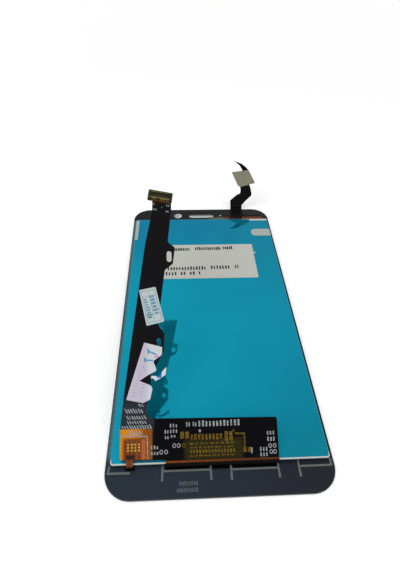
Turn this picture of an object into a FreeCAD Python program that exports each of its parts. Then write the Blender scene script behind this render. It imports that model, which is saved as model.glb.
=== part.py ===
import FreeCAD, Part
import Sketcher
import math
import os
from FreeCAD import Placement, Rotation, Vector

# Display assembly of a five-inch phone, lying glass down.
# Frame: the origin is the middle of the glass's front face, which rests on the table.
# +X is to the right and +Y towards the earpiece end, seen from behind. +Z is up.
# From the table up: cover glass, printed border, touch sensor, clear adhesive, liquid
# crystal cell, backlight, and a blue protective film on its back.
# Two flexible circuits spring up from it. The main one folds round the lower edge of the
# backlight and rises as a long arm that ends in a connector. The touch one leaves the glass
# over its upper edge and stands up behind it.

SIZES = (
    ("glass_width", 68.0, "cover glass from side to side"),
    ("glass_length", 139.4, "cover glass from end to end"),
    ("glass_thickness", 0.70, "cover glass"),
    ("glass_corner", 8.0, "radius of the glass's four corners"),
    ("glass_bevel", 0.12, "ground edge of the glass, front and back"),
    ("sensor_row_inset", 5.45, "upper glass edge to the row of earpiece and camera"),
    ("earpiece_length", 12.8, "earpiece slot, side to side"),
    ("earpiece_width", 3.7, "earpiece slot, across"),
    ("camera_window", 4.4, "clear window of the front camera, diameter"),
    ("camera_offset", 11.9, "camera window, left of the middle"),
    ("light_window", 1.0, "clear window of the light sensor, diameter"),
    ("light_offset", 9.8, "light sensor window, right of the middle"),
    ("ink_thickness", 0.05, "printed border"),
    ("ink_inset", 0.15, "printed border inside the glass's edge"),
    ("sheet_corner", 0.3, "radius of the corners of windows and thin sheets"),
    ("cut_corner", 0.1, "radius of the corners of cut glass and tape"),
    ("side_border", 1.5, "glass's side edges to the backlight frame"),
    ("lower_border", 9.2, "glass's lower edge to the backlight frame"),
    ("upper_border", 11.2, "glass's upper edge to the backlight frame"),
    ("module_shift", 0.15, "backlight frame, right of the glass's middle"),
    ("view_side", 1.05, "frame's sides to the clear view"),
    ("view_lower", 5.6, "frame's lower edge to the clear view"),
    ("view_upper", 2.2, "frame's upper edge to the clear view"),
    ("sensor_thickness", 0.15, "touch sensor film with its adhesive"),
    ("sensor_side", 1.3, "glass's side edges to the sensor film"),
    ("sensor_lower", 8.7, "glass's lower edge to the sensor film"),
    ("sensor_upper", 9.7, "glass's upper edge to the sensor film"),
    ("sensor_corner", 0.8, "radius of the sensor film's corners"),
    ("adhesive_thickness", 0.15, "clear adhesive between sensor and cell"),
    ("adhesive_corner", 0.5, "radius of the clear adhesive's corners"),
    ("polariser_thickness", 0.12, "each polariser"),
    ("filter_thickness", 0.20, "colour filter glass"),
    ("array_thickness", 0.20, "array glass"),
    ("cell_margin", 0.6, "cell inside the backlight frame's outline"),
    ("ledge_length", 3.4, "array glass beyond the colour filter glass"),
    ("polariser_margin", 0.4, "polariser inside the colour filter glass"),
    ("chip_length", 26.0, "driver chip, side to side"),
    ("chip_width", 1.1, "driver chip, across"),
    ("chip_thickness", 0.22, "driver chip"),
    ("chip_gap", 0.4, "colour filter glass to the driver chip"),
    ("tape_thickness", 0.06, "black rim tape"),
    ("tape_width", 1.3, "black rim tape, across"),
    ("tape_play", 0.1, "rear polariser inside the rim tape"),
    ("frame_thickness", 0.92, "backlight frame, front to back"),
    ("frame_wall", 1.0, "backlight frame, side and upper walls"),
    ("frame_lower_wall", 0.55, "backlight frame, lower wall"),
    ("frame_corner", 0.9, "radius of the backlight frame's corners"),
    ("frame_inner_corner", 0.4, "radius of the corners inside the backlight frame"),
    ("sheet_play", 0.15, "play of the optical sheets in the frame"),
    ("film_thickness", 0.06, "each diffuser and prism sheet"),
    ("reflector_thickness", 0.08, "reflector sheet"),
    ("guide_thickness", 0.50, "light guide"),
    ("led_bay", 2.6, "room for the lamps below the light guide"),
    ("led_count", 10, "lamps of the backlight"),
    ("led_end_room", 3.5, "frame's inner sides to the lamps' circuit"),
    ("led_length", 3.0, "lamp, side to side"),
    ("led_width", 0.85, "lamp, across"),
    ("led_height", 0.50, "lamp, front to back"),
    ("led_flex_thickness", 0.08, "flexible circuit of the lamps"),
    ("protective_thickness", 0.05, "blue protective film"),
    ("protective_margin", 0.25, "blue film inside the frame at its sides"),
    ("protective_lower_margin", 0.40, "blue film inside the frame at its lower edge"),
    ("notch_width", 8.6, "notch at the blue film's upper right corner, side to side"),
    ("notch_depth", 1.1, "notch at the blue film's upper right corner, along the film"),
    ("notch_corner", 0.2, "radius of the notch's inner corner"),
    ("flex_thickness", 0.12, "main flexible circuit"),
    ("label_width", 43.0, "white label on the blue film, side to side"),
    ("label_length", 22.3, "white label, along the film"),
    ("label_drop", 19.9, "module's upper edge to the white label"),
    ("label_offset", 0.8, "white label, right of the module's middle"),
    ("pull_length", 9.3, "pull tab of the blue film, side to side"),
    ("pull_width", 5.2, "pull tab, along the film"),
    ("pull_corner", 2.184, "radius of the pull tab's two round corners"),
    ("pull_drop", 8.4, "module's upper edge to the pull tab"),
    ("side_tape_width", 1.4, "white tape at the left edge, across"),
    ("side_tape_length", 14.9, "white tape, along the edge"),
    ("side_tape_drop", 0.7, "module's upper edge to the white tape"),
    ("led_foot_width", 2.0, "lamp circuit's foot round the lower edge"),
    ("led_foot_offset", 2.85, "board's left edge to the middle of the foot"),
    ("led_foot_play", 0.2, "room beside the foot in the frame's lower wall"),
    ("led_foot_headroom", 0.1, "room over the foot in the frame's lower wall"),
    ("led_fold_start", 0.4, "module's lower edge to the start of the foot's fold"),
    ("solder_foot", 0.33, "solder joint, radius at its foot"),
    ("solder_top", 0.20, "solder joint, radius at its top"),
    ("solder_height", 0.16, "solder joint"),
    ("bond_length", 1.6, "main circuit on the array glass's ledge"),
    ("fold_start", 0.05, "module's lower edge to the start of the main fold"),
    ("fold_radius", 0.75, "fold round the module's lower edge, at mid thickness"),
    ("board_tilt", 32.5, "the main circuit springs up from its fold, degrees"),
    ("arm_slope", 21.65, "the arm above its bend, degrees"),
    ("board_inset", 2.9, "module's left edge to the main circuit's board"),
    ("board_width", 46.7, "board, side to side"),
    ("board_length", 10.2, "module's lower edge to the board's upper edge, in plan"),
    ("board_edge", 0.8, "module's lower edge to the board's free lower edge, in plan"),
    ("fold_offset", 13.3, "board's left edge to the left end of the main fold"),
    ("arm_bend_reach", 5.4, "board's upper edge to the arm's bend, in plan"),
    ("arm_bend_radius", 45.0, "radius of the arm's bend"),
    ("arm_length", 69.9, "board's upper edge to the end of the arm's neck, in plan"),
    ("connector_roll", 8.6, "the arm's end is twisted, left side up, degrees"),
    ("sticker_thickness", 0.08, "paper labels and tapes"),
    ("touch_flex_thickness", 0.10, "flexible circuit of the touch sensor"),
    ("band_inset", 3.1, "glass's right edge to the touch bond"),
    ("band_width", 27.1, "touch bond, side to side"),
    ("band_length", 4.7, "touch bond, along the phone"),
    ("band_step_width", 7.9, "narrow left end of the touch bond, side to side"),
    ("band_step_length", 3.2, "narrow left end of the touch bond, along the phone"),
    ("band_gap", 0.8, "backlight frame's upper edge to the touch bond"),
    ("neck_offset", 11.7, "touch bond's left end to the neck of the touch circuit"),
    ("neck_width", 5.9, "neck of the touch circuit"),
    ("touch_bend_radius", 0.75, "bend at the glass's upper edge, at mid thickness"),
    ("touch_overhang", 0.05, "touch circuit outside the glass's upper edge"),
    ("touch_lean", 23.3, "the stiffener leans back, degrees"),
    ("touch_yaw", 21.6, "the stiffener's left side is turned back, degrees"),
    ("tongue_yaw", 15.1, "the end of the touch circuit is turned back, degrees"),
    ("stiffener_thickness", 0.25, "stiffeners"),
    ("head_width", 9.05, "arm's head, side to side"),
    ("head_height", 4.75, "arm's head, along the arm"),
    ("head_corner", 0.6, "radius of the head's corners"),
    ("head_setback", 0.55, "end of the arm's neck to the lower edge of the head"),
    ("head_turn", 4.0, "the head is turned clockwise on the arm, degrees"),
    ("plug_width", 8.5, "display connector, side to side"),
    ("plug_height", 3.4, "display connector, along the arm"),
    ("plug_thickness", 0.80, "display connector"),
    ("plug_corner", 0.25, "radius of the display connector's corners"),
    ("plug_end", 0.8, "display connector's ends to its groove"),
    ("plug_side", 1.0, "display connector's long sides to its groove"),
    ("groove_depth", 0.5, "groove of the display connector"),
    ("contact_count", 20, "contacts in each row of the display connector"),
    ("contact_pitch", 0.35, "contacts, middle to middle"),
    ("contact_width", 0.21, "contact, along the connector"),
    ("contact_length", 0.35, "contact, across the connector"),
    ("contact_thickness", 0.06, "contact over the connector's face"),
    ("contact_inset", 0.4, "connector's long side to the middle of its contacts"),
    ("touch_plug_width", 5.6, "touch connector, side to side"),
    ("touch_plug_height", 2.4, "touch connector, along the circuit"),
    ("pad_thickness", 0.03, "gold pads on the main circuit"),
    ("seat_gap", 0.02, "glue line under pieces on the bent circuits"),
)

doc = FreeCAD.newDocument("phone_display")
sheet = doc.addObject("Spreadsheet::Sheet", "Sizes")
for row, (alias, number, meaning) in enumerate(SIZES, start=1):
    sheet.set(f"A{row}", meaning)
    sheet.set(f"B{row}", str(number))
    sheet.setAlias(f"B{row}", alias)
doc.recompute()

nodes = []


def size(alias):
    """Number in the sheet's cell of that name."""
    return float(getattr(sheet, alias))


def value(expression):
    """Number that an expression over the sheet gives."""
    result = sheet.evalExpression(expression)
    return float(getattr(result, "Value", result))


def cells(*aliases):
    """Expression that adds up cells of the sheet."""
    return " + ".join(f"Sizes.{alias}" for alias in aliases)


def keep(node_object, name):
    """Name a finished piece, so that it is checked and written to its file."""
    node_object.Label = name
    nodes.append(node_object)
    return node_object


# Levels above the table, as expressions

STACK = ("glass_thickness", "ink_thickness", "sensor_thickness", "adhesive_thickness",
         "polariser_thickness", "filter_thickness", "array_thickness")
INK_LEVEL = cells(*STACK[:1])
SENSOR_LEVEL = cells(*STACK[:2])
ADHESIVE_LEVEL = cells(*STACK[:3])
FRONT_POLARISER_LEVEL = cells(*STACK[:4])
FILTER_LEVEL = cells(*STACK[:5])
ARRAY_LEVEL = cells(*STACK[:6])
CELL_BACK_LEVEL = cells(*STACK)
FRAME_LEVEL = f"{CELL_BACK_LEVEL} + Sizes.tape_thickness"
FRAME_BACK_LEVEL = f"{FRAME_LEVEL} + Sizes.frame_thickness"
REFLECTOR_LEVEL = f"{FRAME_BACK_LEVEL} - Sizes.reflector_thickness"
GUIDE_LEVEL = f"{REFLECTOR_LEVEL} - Sizes.guide_thickness"
DIFFUSER_LEVEL = f"{GUIDE_LEVEL} - Sizes.film_thickness"
LOWER_PRISM_LEVEL = f"{DIFFUSER_LEVEL} - Sizes.film_thickness"
UPPER_PRISM_LEVEL = f"{LOWER_PRISM_LEVEL} - Sizes.film_thickness"
MODULE_BACK_LEVEL = f"{FRAME_BACK_LEVEL} + Sizes.protective_thickness"

# Places along the phone, as expressions

GLASS_LOWER_EDGE = "-Sizes.glass_length / 2"
GLASS_UPPER_EDGE = "Sizes.glass_length / 2"
SENSOR_ROW = f"{GLASS_UPPER_EDGE} - Sizes.sensor_row_inset"
MODULE_WIDTH = "(Sizes.glass_width - 2 * Sizes.side_border)"
MODULE_LENGTH = "(Sizes.glass_length - Sizes.lower_border - Sizes.upper_border)"
MODULE_LOWER_EDGE = f"{GLASS_LOWER_EDGE} + Sizes.lower_border"
MODULE_MIDDLE = f"{MODULE_LOWER_EDGE} + {MODULE_LENGTH} / 2"
MODULE_UPPER_EDGE = f"{GLASS_UPPER_EDGE} - Sizes.upper_border"
CELL_WIDTH = f"({MODULE_WIDTH} - 2 * Sizes.cell_margin)"
ARRAY_LENGTH = f"({MODULE_LENGTH} - Sizes.cell_margin)"
FILTER_LENGTH = f"{ARRAY_LENGTH} - Sizes.ledge_length"
FILTER_MIDDLE = f"{MODULE_LOWER_EDGE} + Sizes.ledge_length + ({FILTER_LENGTH}) / 2"


# Sketch helpers: each loop is closed and fully dimensioned from the sheet

def bind(sketch, constraint, expression, name):
    """Add a dimension to a sketch and tie it to the sheet."""
    index = sketch.addConstraint(constraint)
    sketch.renameConstraint(index, name)
    sketch.setExpression(f"Constraints.{name}", expression)


def draw_rounded_rectangle(sketch, width, length, corner, mid_x="0", mid_y="0"):
    """Rectangle with four equal round corners about (mid_x, mid_y)."""
    wide, long, radius = value(width) / 2, value(length) / 2, value(corner)
    x0, y0 = value(mid_x), value(mid_y)
    corners = ((1, 1, 0), (-1, 1, 90), (-1, -1, 180), (1, -1, 270))
    arcs = []
    for sign_x, sign_y, start in corners:
        centre = Vector(x0 + sign_x * (wide - radius), y0 + sign_y * (long - radius), 0)
        circle = Part.Circle(centre, Vector(0, 0, 1), radius)
        turn = (math.radians(start), math.radians(start + 90))
        arcs.append(sketch.addGeometry(Part.ArcOfCircle(circle, *turn)))
    lines = []
    for first, second in zip(arcs, arcs[1:] + arcs[:1]):
        tip = sketch.getPoint(first, 2)
        tail = sketch.getPoint(second, 1)
        lines.append(sketch.addGeometry(Part.LineSegment(tip, tail)))
    for place, line in enumerate(lines):
        after = arcs[(place + 1) % 4]
        sketch.addConstraint(Sketcher.Constraint("Tangent", arcs[place], 2, line, 1))
        sketch.addConstraint(Sketcher.Constraint("Tangent", line, 2, after, 1))
        way = "Horizontal" if place % 2 == 0 else "Vertical"
        sketch.addConstraint(Sketcher.Constraint(way, line))
    for arc in arcs[1:]:
        sketch.addConstraint(Sketcher.Constraint("Equal", arcs[0], arc))
    tag = f"loop{arcs[0]}"
    top, left, bottom, right = lines
    bind(sketch, Sketcher.Constraint("Radius", arcs[0], radius), corner, f"{tag}_corner")
    bind(sketch, Sketcher.Constraint("DistanceX", left, 1, right, 1, 2 * wide),
         width, f"{tag}_width")
    bind(sketch, Sketcher.Constraint("DistanceY", bottom, 1, top, 1, 2 * long),
         length, f"{tag}_length")
    bind(sketch, Sketcher.Constraint("DistanceX", -1, 1, right, 1, x0 + wide),
         f"({mid_x}) + ({width}) / 2", f"{tag}_right")
    bind(sketch, Sketcher.Constraint("DistanceY", -1, 1, top, 1, y0 + long),
         f"({mid_y}) + ({length}) / 2", f"{tag}_top")


def draw_circle(sketch, diameter, mid_x, mid_y):
    """Round hole about (mid_x, mid_y)."""
    centre = Vector(value(mid_x), value(mid_y), 0)
    ring = sketch.addGeometry(Part.Circle(centre, Vector(0, 0, 1), value(diameter) / 2))
    tag = f"loop{ring}"
    bind(sketch, Sketcher.Constraint("Diameter", ring, value(diameter)),
         diameter, f"{tag}_diameter")
    bind(sketch, Sketcher.Constraint("DistanceX", -1, 1, ring, 3, centre.x), mid_x, f"{tag}_across")
    bind(sketch, Sketcher.Constraint("DistanceY", -1, 1, ring, 3, centre.y), mid_y, f"{tag}_along")


def new_body(name, mid_x="0", mid_y="0", level="0"):
    """Empty body whose origin stands at the given place."""
    body = doc.addObject("PartDesign::Body", name)
    body.setExpression("Placement.Base.x", mid_x)
    body.setExpression("Placement.Base.y", mid_y)
    body.setExpression("Placement.Base.z", level)
    return keep(body, name)


def flat_sketch(body, name):
    """Empty sketch on the body's own XY plane."""
    sketch = body.newObject("Sketcher::SketchObject", name)
    plane = next(f for f in body.Origin.OriginFeatures if f.Role == "XY_Plane")
    sketch.AttachmentSupport = [(plane, "")]
    sketch.MapMode = "FlatFace"
    return sketch


def pad(body, sketch, thickness):
    """Pad a sketch upwards by an expression's length."""
    feature = body.newObject("PartDesign::Pad", f"{sketch.Name}_pad")
    feature.Profile = sketch
    feature.setExpression("Length", thickness)
    body.Tip = feature
    return feature


def pocket(body, sketch, depth):
    """Cut a sketch upwards into the body from its XY plane."""
    feature = body.newObject("PartDesign::Pocket", f"{sketch.Name}_pocket")
    feature.Profile = sketch
    feature.Reversed = True
    feature.setExpression("Length", depth)
    body.Tip = feature
    return feature


def plate(name, width, length, corner, thickness, level, mid_x="0", mid_y="0", window=None):
    """Flat rectangular sheet, with one rectangular window where it has one."""
    body = new_body(name, mid_x, mid_y, level)
    sketch = flat_sketch(body, f"{name}_outline")
    draw_rounded_rectangle(sketch, width, length, corner)
    if window:
        draw_rounded_rectangle(sketch, *window)
    pad(body, sketch, thickness)
    return body


def box(name, width, length, thickness, left, lower, level):
    """Plain block from its left, lower and bottom sides."""
    block = doc.addObject("Part::Box", name)
    block.setExpression("Length", width)
    block.setExpression("Width", length)
    block.setExpression("Height", thickness)
    block.setExpression("Placement.Base.x", left)
    block.setExpression("Placement.Base.y", lower)
    block.setExpression("Placement.Base.z", level)
    return block


# Cover glass with its printed border

ROUND_END_GAP = 0.01

def draw_glass_openings(sketch, with_windows):
    """Earpiece slot, and the clear windows where the print leaves them open."""
    draw_rounded_rectangle(sketch, "Sizes.earpiece_length", "Sizes.earpiece_width",
                           f"Sizes.earpiece_width / 2 - {ROUND_END_GAP}", "0", SENSOR_ROW)
    if with_windows:
        draw_circle(sketch, "Sizes.camera_window", "-Sizes.camera_offset", SENSOR_ROW)
        draw_circle(sketch, "Sizes.light_window", "Sizes.light_offset", SENSOR_ROW)


def build_cover_glass():
    body = new_body("cover_glass")
    sketch = flat_sketch(body, "glass_outline")
    draw_rounded_rectangle(sketch, "Sizes.glass_width", "Sizes.glass_length", "Sizes.glass_corner")
    draw_glass_openings(sketch, with_windows=False)
    base = pad(body, sketch, "Sizes.glass_thickness")
    doc.recompute()
    rims = [f"Face{number}" for number, face in enumerate(base.Shape.Faces, start=1)
            if abs(face.normalAt(0, 0).z) > 0.99]
    bevel = body.newObject("PartDesign::Chamfer", "glass_edges")
    bevel.Base = (base, rims)
    bevel.setExpression("Size", "Sizes.glass_bevel")
    body.Tip = bevel


def build_ink_border():
    body = new_body("printed_border", level=INK_LEVEL)
    sketch = flat_sketch(body, "ink_outline")
    draw_rounded_rectangle(sketch, "Sizes.glass_width - 2 * Sizes.ink_inset",
                           "Sizes.glass_length - 2 * Sizes.ink_inset",
                           "Sizes.glass_corner - Sizes.ink_inset")
    draw_rounded_rectangle(sketch, f"{MODULE_WIDTH} - 2 * Sizes.view_side",
                           f"{MODULE_LENGTH} - Sizes.view_lower - Sizes.view_upper",
                           "Sizes.sheet_corner", "Sizes.module_shift",
                           f"{MODULE_MIDDLE} + (Sizes.view_lower - Sizes.view_upper) / 2")
    draw_glass_openings(sketch, with_windows=True)
    pad(body, sketch, "Sizes.ink_thickness")


# Touch sensor and the liquid crystal cell

BAND_RIGHT = "Sizes.glass_width / 2 - Sizes.band_inset"
BAND_LEFT = f"{BAND_RIGHT} - Sizes.band_width"
BAND_STEP = f"{BAND_LEFT} + Sizes.band_step_width"
BAND_LOWER = f"{MODULE_UPPER_EDGE} + Sizes.band_gap"


def build_touch_sensor():
    """Sensor film, with a stepped tongue that carries the touch circuit's bond."""
    body = new_body("touch_sensor_film", level=SENSOR_LEVEL)
    film = flat_sketch(body, "sensor_outline")
    draw_rounded_rectangle(film, "Sizes.glass_width - 2 * Sizes.sensor_side",
                           "Sizes.glass_length - Sizes.sensor_lower - Sizes.sensor_upper",
                           "Sizes.sensor_corner", "0",
                           "(Sizes.sensor_lower - Sizes.sensor_upper) / 2")
    pad(body, film, "Sizes.sensor_thickness")
    for name, left, length in (("wide", BAND_STEP, "Sizes.band_length"),
                               ("narrow", BAND_LEFT, "Sizes.band_step_length")):
        tongue = flat_sketch(body, f"sensor_{name}_tongue")
        draw_rounded_rectangle(tongue, f"{BAND_RIGHT} - ({left})", length, "Sizes.cut_corner",
                               f"({BAND_RIGHT} + {left}) / 2", f"{BAND_LOWER} + {length} / 2")
        pad(body, tongue, "Sizes.sensor_thickness")


def build_cell():
    """Clear adhesive, two glasses, two polarisers and the driver chip on the ledge."""
    shift = "Sizes.module_shift"
    array_middle = f"{MODULE_LOWER_EDGE} + ({ARRAY_LENGTH}) / 2"
    polariser_width = f"{CELL_WIDTH} - 2 * Sizes.polariser_margin"
    polariser_length = f"{FILTER_LENGTH} - 2 * Sizes.polariser_margin"
    plate("optical_adhesive", CELL_WIDTH, FILTER_LENGTH, "Sizes.adhesive_corner",
          "Sizes.adhesive_thickness", ADHESIVE_LEVEL, shift, FILTER_MIDDLE)
    plate("front_polariser", polariser_width, polariser_length, "Sizes.sheet_corner",
          "Sizes.polariser_thickness", FRONT_POLARISER_LEVEL, shift, FILTER_MIDDLE)
    plate("colour_filter_glass", CELL_WIDTH, FILTER_LENGTH, "Sizes.cut_corner",
          "Sizes.filter_thickness", FILTER_LEVEL, shift, FILTER_MIDDLE)
    plate("array_glass", CELL_WIDTH, ARRAY_LENGTH, "Sizes.cut_corner",
          "Sizes.array_thickness", ARRAY_LEVEL, shift, array_middle)
    tape_room = "2 * (Sizes.tape_width + Sizes.tape_play)"
    plate("rear_polariser", f"{CELL_WIDTH} - {tape_room}",
          f"{ARRAY_LENGTH} - Sizes.ledge_length - {tape_room}", "Sizes.sheet_corner",
          "Sizes.polariser_thickness", CELL_BACK_LEVEL, shift, FILTER_MIDDLE)
    chip = box("driver_chip", "Sizes.chip_length", "Sizes.chip_width", "Sizes.chip_thickness",
               "Sizes.module_shift - Sizes.chip_length / 2",
               f"{MODULE_LOWER_EDGE} + Sizes.ledge_length - Sizes.chip_gap - Sizes.chip_width",
               f"{ARRAY_LEVEL} - Sizes.chip_thickness")
    keep(chip, "driver_chip")


build_cover_glass()
build_ink_border()
build_touch_sensor()
build_cell()


# Backlight, and what is stuck on its back

WINDOW_WIDTH = f"{MODULE_WIDTH} - 2 * Sizes.frame_wall"
WINDOW_LENGTH = f"{MODULE_LENGTH} - Sizes.frame_wall - Sizes.frame_lower_wall"
WINDOW_LOWER = f"{MODULE_LOWER_EDGE} + Sizes.frame_lower_wall"
LED_STRIP_WIDTH = f"({WINDOW_WIDTH} - 2 * Sizes.led_end_room)"
SHEET_WIDTH = f"{WINDOW_WIDTH} - 2 * Sizes.sheet_play"
SHEET_LENGTH = f"{WINDOW_LENGTH} - Sizes.led_bay - Sizes.sheet_play"
SHEET_MIDDLE = f"{WINDOW_LOWER} + Sizes.led_bay + ({SHEET_LENGTH}) / 2"


def build_backlight_frame():
    """Thin white frame with a way out for the lamp circuit in its lower wall."""
    body = new_body("backlight_frame", "Sizes.module_shift", MODULE_MIDDLE, FRAME_LEVEL)
    sketch = flat_sketch(body, "frame_outline")
    draw_rounded_rectangle(sketch, MODULE_WIDTH, MODULE_LENGTH, "Sizes.frame_corner")
    draw_rounded_rectangle(sketch, WINDOW_WIDTH, WINDOW_LENGTH, "Sizes.frame_inner_corner", "0",
                           "(Sizes.frame_lower_wall - Sizes.frame_wall) / 2")
    pad(body, sketch, "Sizes.frame_thickness")
    way_out = flat_sketch(body, "foot_way_out")
    draw_rounded_rectangle(way_out, "Sizes.led_foot_width + 2 * Sizes.led_foot_play",
                           "2 * Sizes.frame_lower_wall", "Sizes.cut_corner / 2",
                           f"-{MODULE_WIDTH} / 2 + Sizes.board_inset + Sizes.led_foot_offset",
                           f"-{MODULE_LENGTH} / 2 + Sizes.frame_lower_wall / 2")
    pocket(body, way_out, "Sizes.led_flex_thickness + Sizes.led_foot_headroom")


def build_rim_tape():
    """Black adhesive ring between the cell and the backlight."""
    plate("rim_tape", CELL_WIDTH, ARRAY_LENGTH, "Sizes.cut_corner", "Sizes.tape_thickness",
          CELL_BACK_LEVEL, "Sizes.module_shift", f"{MODULE_LOWER_EDGE} + ({ARRAY_LENGTH}) / 2",
          (f"{CELL_WIDTH} - 2 * Sizes.tape_width",
           f"{ARRAY_LENGTH} - Sizes.ledge_length - 2 * Sizes.tape_width",
           "Sizes.sheet_corner", "0", "Sizes.ledge_length / 2"))


def build_optical_sheets():
    sheets = (("upper_prism_sheet", UPPER_PRISM_LEVEL, "Sizes.film_thickness"),
              ("lower_prism_sheet", LOWER_PRISM_LEVEL, "Sizes.film_thickness"),
              ("diffuser_sheet", DIFFUSER_LEVEL, "Sizes.film_thickness"),
              ("light_guide", GUIDE_LEVEL, "Sizes.guide_thickness"))
    for name, level, thickness in sheets:
        plate(name, SHEET_WIDTH, SHEET_LENGTH, "Sizes.sheet_corner", thickness, level,
              "Sizes.module_shift", SHEET_MIDDLE)
    plate("reflector_sheet", SHEET_WIDTH, f"{WINDOW_LENGTH} - 2 * Sizes.sheet_play",
          "Sizes.sheet_corner", "Sizes.reflector_thickness", REFLECTOR_LEVEL, "Sizes.module_shift",
          f"{WINDOW_LOWER} + ({WINDOW_LENGTH}) / 2")


def build_lamps():
    """Row of side-firing lamps against the light guide's lower edge."""
    lamps = []
    for number in range(int(size("led_count"))):
        middle = f"({number} - (Sizes.led_count - 1) / 2) * {LED_STRIP_WIDTH} / Sizes.led_count"
        lamp = box(f"lamp_{number}", "Sizes.led_length", "Sizes.led_width", "Sizes.led_height",
                   f"Sizes.module_shift + {middle} - Sizes.led_length / 2",
                   f"{WINDOW_LOWER} + Sizes.led_bay - Sizes.sheet_play - Sizes.led_width",
                   f"{FRAME_LEVEL} + Sizes.led_flex_thickness")
        lamps.append(lamp)
    row = doc.addObject("Part::Compound", "backlight_leds")
    row.Links = lamps
    keep(row, "backlight_leds")


def build_protective_film():
    """Blue film over the module's back, notched at its upper right corner."""
    width = f"{MODULE_WIDTH} - 2 * Sizes.protective_margin"
    length = f"{MODULE_LENGTH} - Sizes.protective_margin - Sizes.protective_lower_margin"
    body = new_body("protective_film", "Sizes.module_shift",
                    f"{MODULE_LOWER_EDGE} + Sizes.protective_lower_margin + ({length}) / 2",
                    FRAME_BACK_LEVEL)
    sketch = flat_sketch(body, "film_outline")
    draw_rounded_rectangle(sketch, width, length, "Sizes.frame_corner - Sizes.protective_margin")
    pad(body, sketch, "Sizes.protective_thickness")
    notch = flat_sketch(body, "film_notch")
    draw_rounded_rectangle(notch, "2 * Sizes.notch_width", "2 * Sizes.notch_depth",
                           "Sizes.notch_corner",
                           f"({width}) / 2", f"({length}) / 2")
    pocket(body, notch, "Sizes.protective_thickness")


def build_rear_labels():
    """White label, left tape strip and the pull tab with its two round corners."""
    plate("rear_label", "Sizes.label_width", "Sizes.label_length", "Sizes.sheet_corner",
          "Sizes.sticker_thickness", MODULE_BACK_LEVEL,
          "Sizes.module_shift + Sizes.label_offset",
          f"{MODULE_UPPER_EDGE} - Sizes.label_drop - Sizes.label_length / 2")
    plate("side_tape", "Sizes.side_tape_width", "Sizes.side_tape_length", "Sizes.cut_corner",
          "Sizes.sticker_thickness", MODULE_BACK_LEVEL,
          f"Sizes.module_shift - {MODULE_WIDTH} / 2 + Sizes.side_tape_width / 2",
          f"{MODULE_UPPER_EDGE} - Sizes.side_tape_drop - Sizes.side_tape_length / 2")
    body = new_body("pull_tab", f"Sizes.module_shift + {MODULE_WIDTH} / 2",
                    f"{MODULE_UPPER_EDGE} - Sizes.pull_drop - Sizes.pull_width / 2",
                    MODULE_BACK_LEVEL)
    sketch = flat_sketch(body, "tab_outline")
    draw_rounded_rectangle(sketch, "2 * Sizes.pull_length", "Sizes.pull_width",
                           "Sizes.pull_corner")
    pad(body, sketch, "Sizes.sticker_thickness")
    trim = flat_sketch(body, "tab_trim")
    draw_rounded_rectangle(trim, "2 * Sizes.pull_length", "2 * Sizes.pull_width",
                           "Sizes.cut_corner", "Sizes.pull_length")
    pocket(body, trim, "Sizes.sticker_thickness")


build_backlight_frame()
build_rim_tape()
build_optical_sheets()
build_lamps()
build_protective_film()
build_rear_labels()


# Bent sheets: strips along a path in the YZ plane, and outlines drawn in plan

def left_of(direction):
    """Unit normal on the left of a direction in the YZ plane."""
    return Vector(0, -direction.z, direction.y)


def path_edges(points, radii, offset):
    """Edges of a path with round bends, moved to its left by the offset."""
    edges = []
    start = points[0]
    for corner, after, radius in zip(points[1:], points[2:], radii):
        before = (corner - start).normalize()
        onward = (after - corner).normalize()
        turn = math.atan2(before.cross(onward).x, before.dot(onward))
        reach = radius * math.tan(abs(turn) / 2)
        first, last = corner - before * reach, corner + onward * reach
        side = math.copysign(1, turn)
        centre = first + left_of(before) * side * radius
        middle = centre + (corner - centre).normalize() * radius
        shift = left_of(before) * offset
        edges.append(Part.LineSegment(start + shift, first + shift).toShape())
        scale = (radius - side * offset) / radius
        spots = [centre + (spot - centre) * scale for spot in (first, middle, last)]
        edges.append(Part.Arc(*spots).toShape())
        start = last
    shift = left_of((points[-1] - start).normalize()) * offset
    edges.append(Part.LineSegment(start + shift, points[-1] + shift).toShape())
    return edges


def bent_strip(points, radii, low, high, left, right):
    """Sheet between two offsets of a path, from left to right along X."""
    lower = path_edges(points, radii, low)
    upper = path_edges(points, radii, high)
    caps = [Part.LineSegment(lower[0].firstVertex().Point, upper[0].firstVertex().Point),
            Part.LineSegment(lower[-1].lastVertex().Point, upper[-1].lastVertex().Point)]
    edges = lower + upper + [cap.toShape() for cap in caps]
    profile = Part.Face(Part.Wire(Part.__sortEdges__(edges)))
    profile.translate(Vector(left, 0, 0))
    return profile.extrude(Vector(right - left, 0, 0))


def outline_wire(points, to_vector):
    """Closed wire through (across, along, corner radius) points."""
    count = len(points)
    spots = [to_vector(point[0], point[1]) for point in points]
    starts, ends, edges = [], [], []
    for place, point in enumerate(points):
        radius = point[2] if len(point) > 2 else 0
        before = (spots[place] - spots[place - 1]).normalize()
        onward = (spots[(place + 1) % count] - spots[place]).normalize()
        angle = before.getAngle(onward)
        reach = radius * math.tan(angle / 2)
        starts.append(spots[place] - before * reach)
        ends.append(spots[place] + onward * reach)
        if radius:
            inward = (onward - before).normalize()
            centre = spots[place] + inward * (radius / math.cos(angle / 2))
            edges.append(Part.Arc(starts[-1], centre - inward * radius, ends[-1]).toShape())
    for place in range(count):
        gap = starts[(place + 1) % count] - ends[place]
        if gap.Length > 1e-4:
            edges.append(Part.LineSegment(ends[place], starts[(place + 1) % count]).toShape())
    return Part.Wire(Part.__sortEdges__(edges))


def keep_shape(name, shape, placement=None):
    """Piece with a shape of its own, and its Placement set after the shape."""
    feature = doc.addObject("Part::Feature", name)
    feature.Shape = shape
    if placement:
        feature.Placement = placement
    return keep(feature, name)


# Main circuit's path. Plan places on it are measured from the board's left edge and from
# the module's lower edge.

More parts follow.
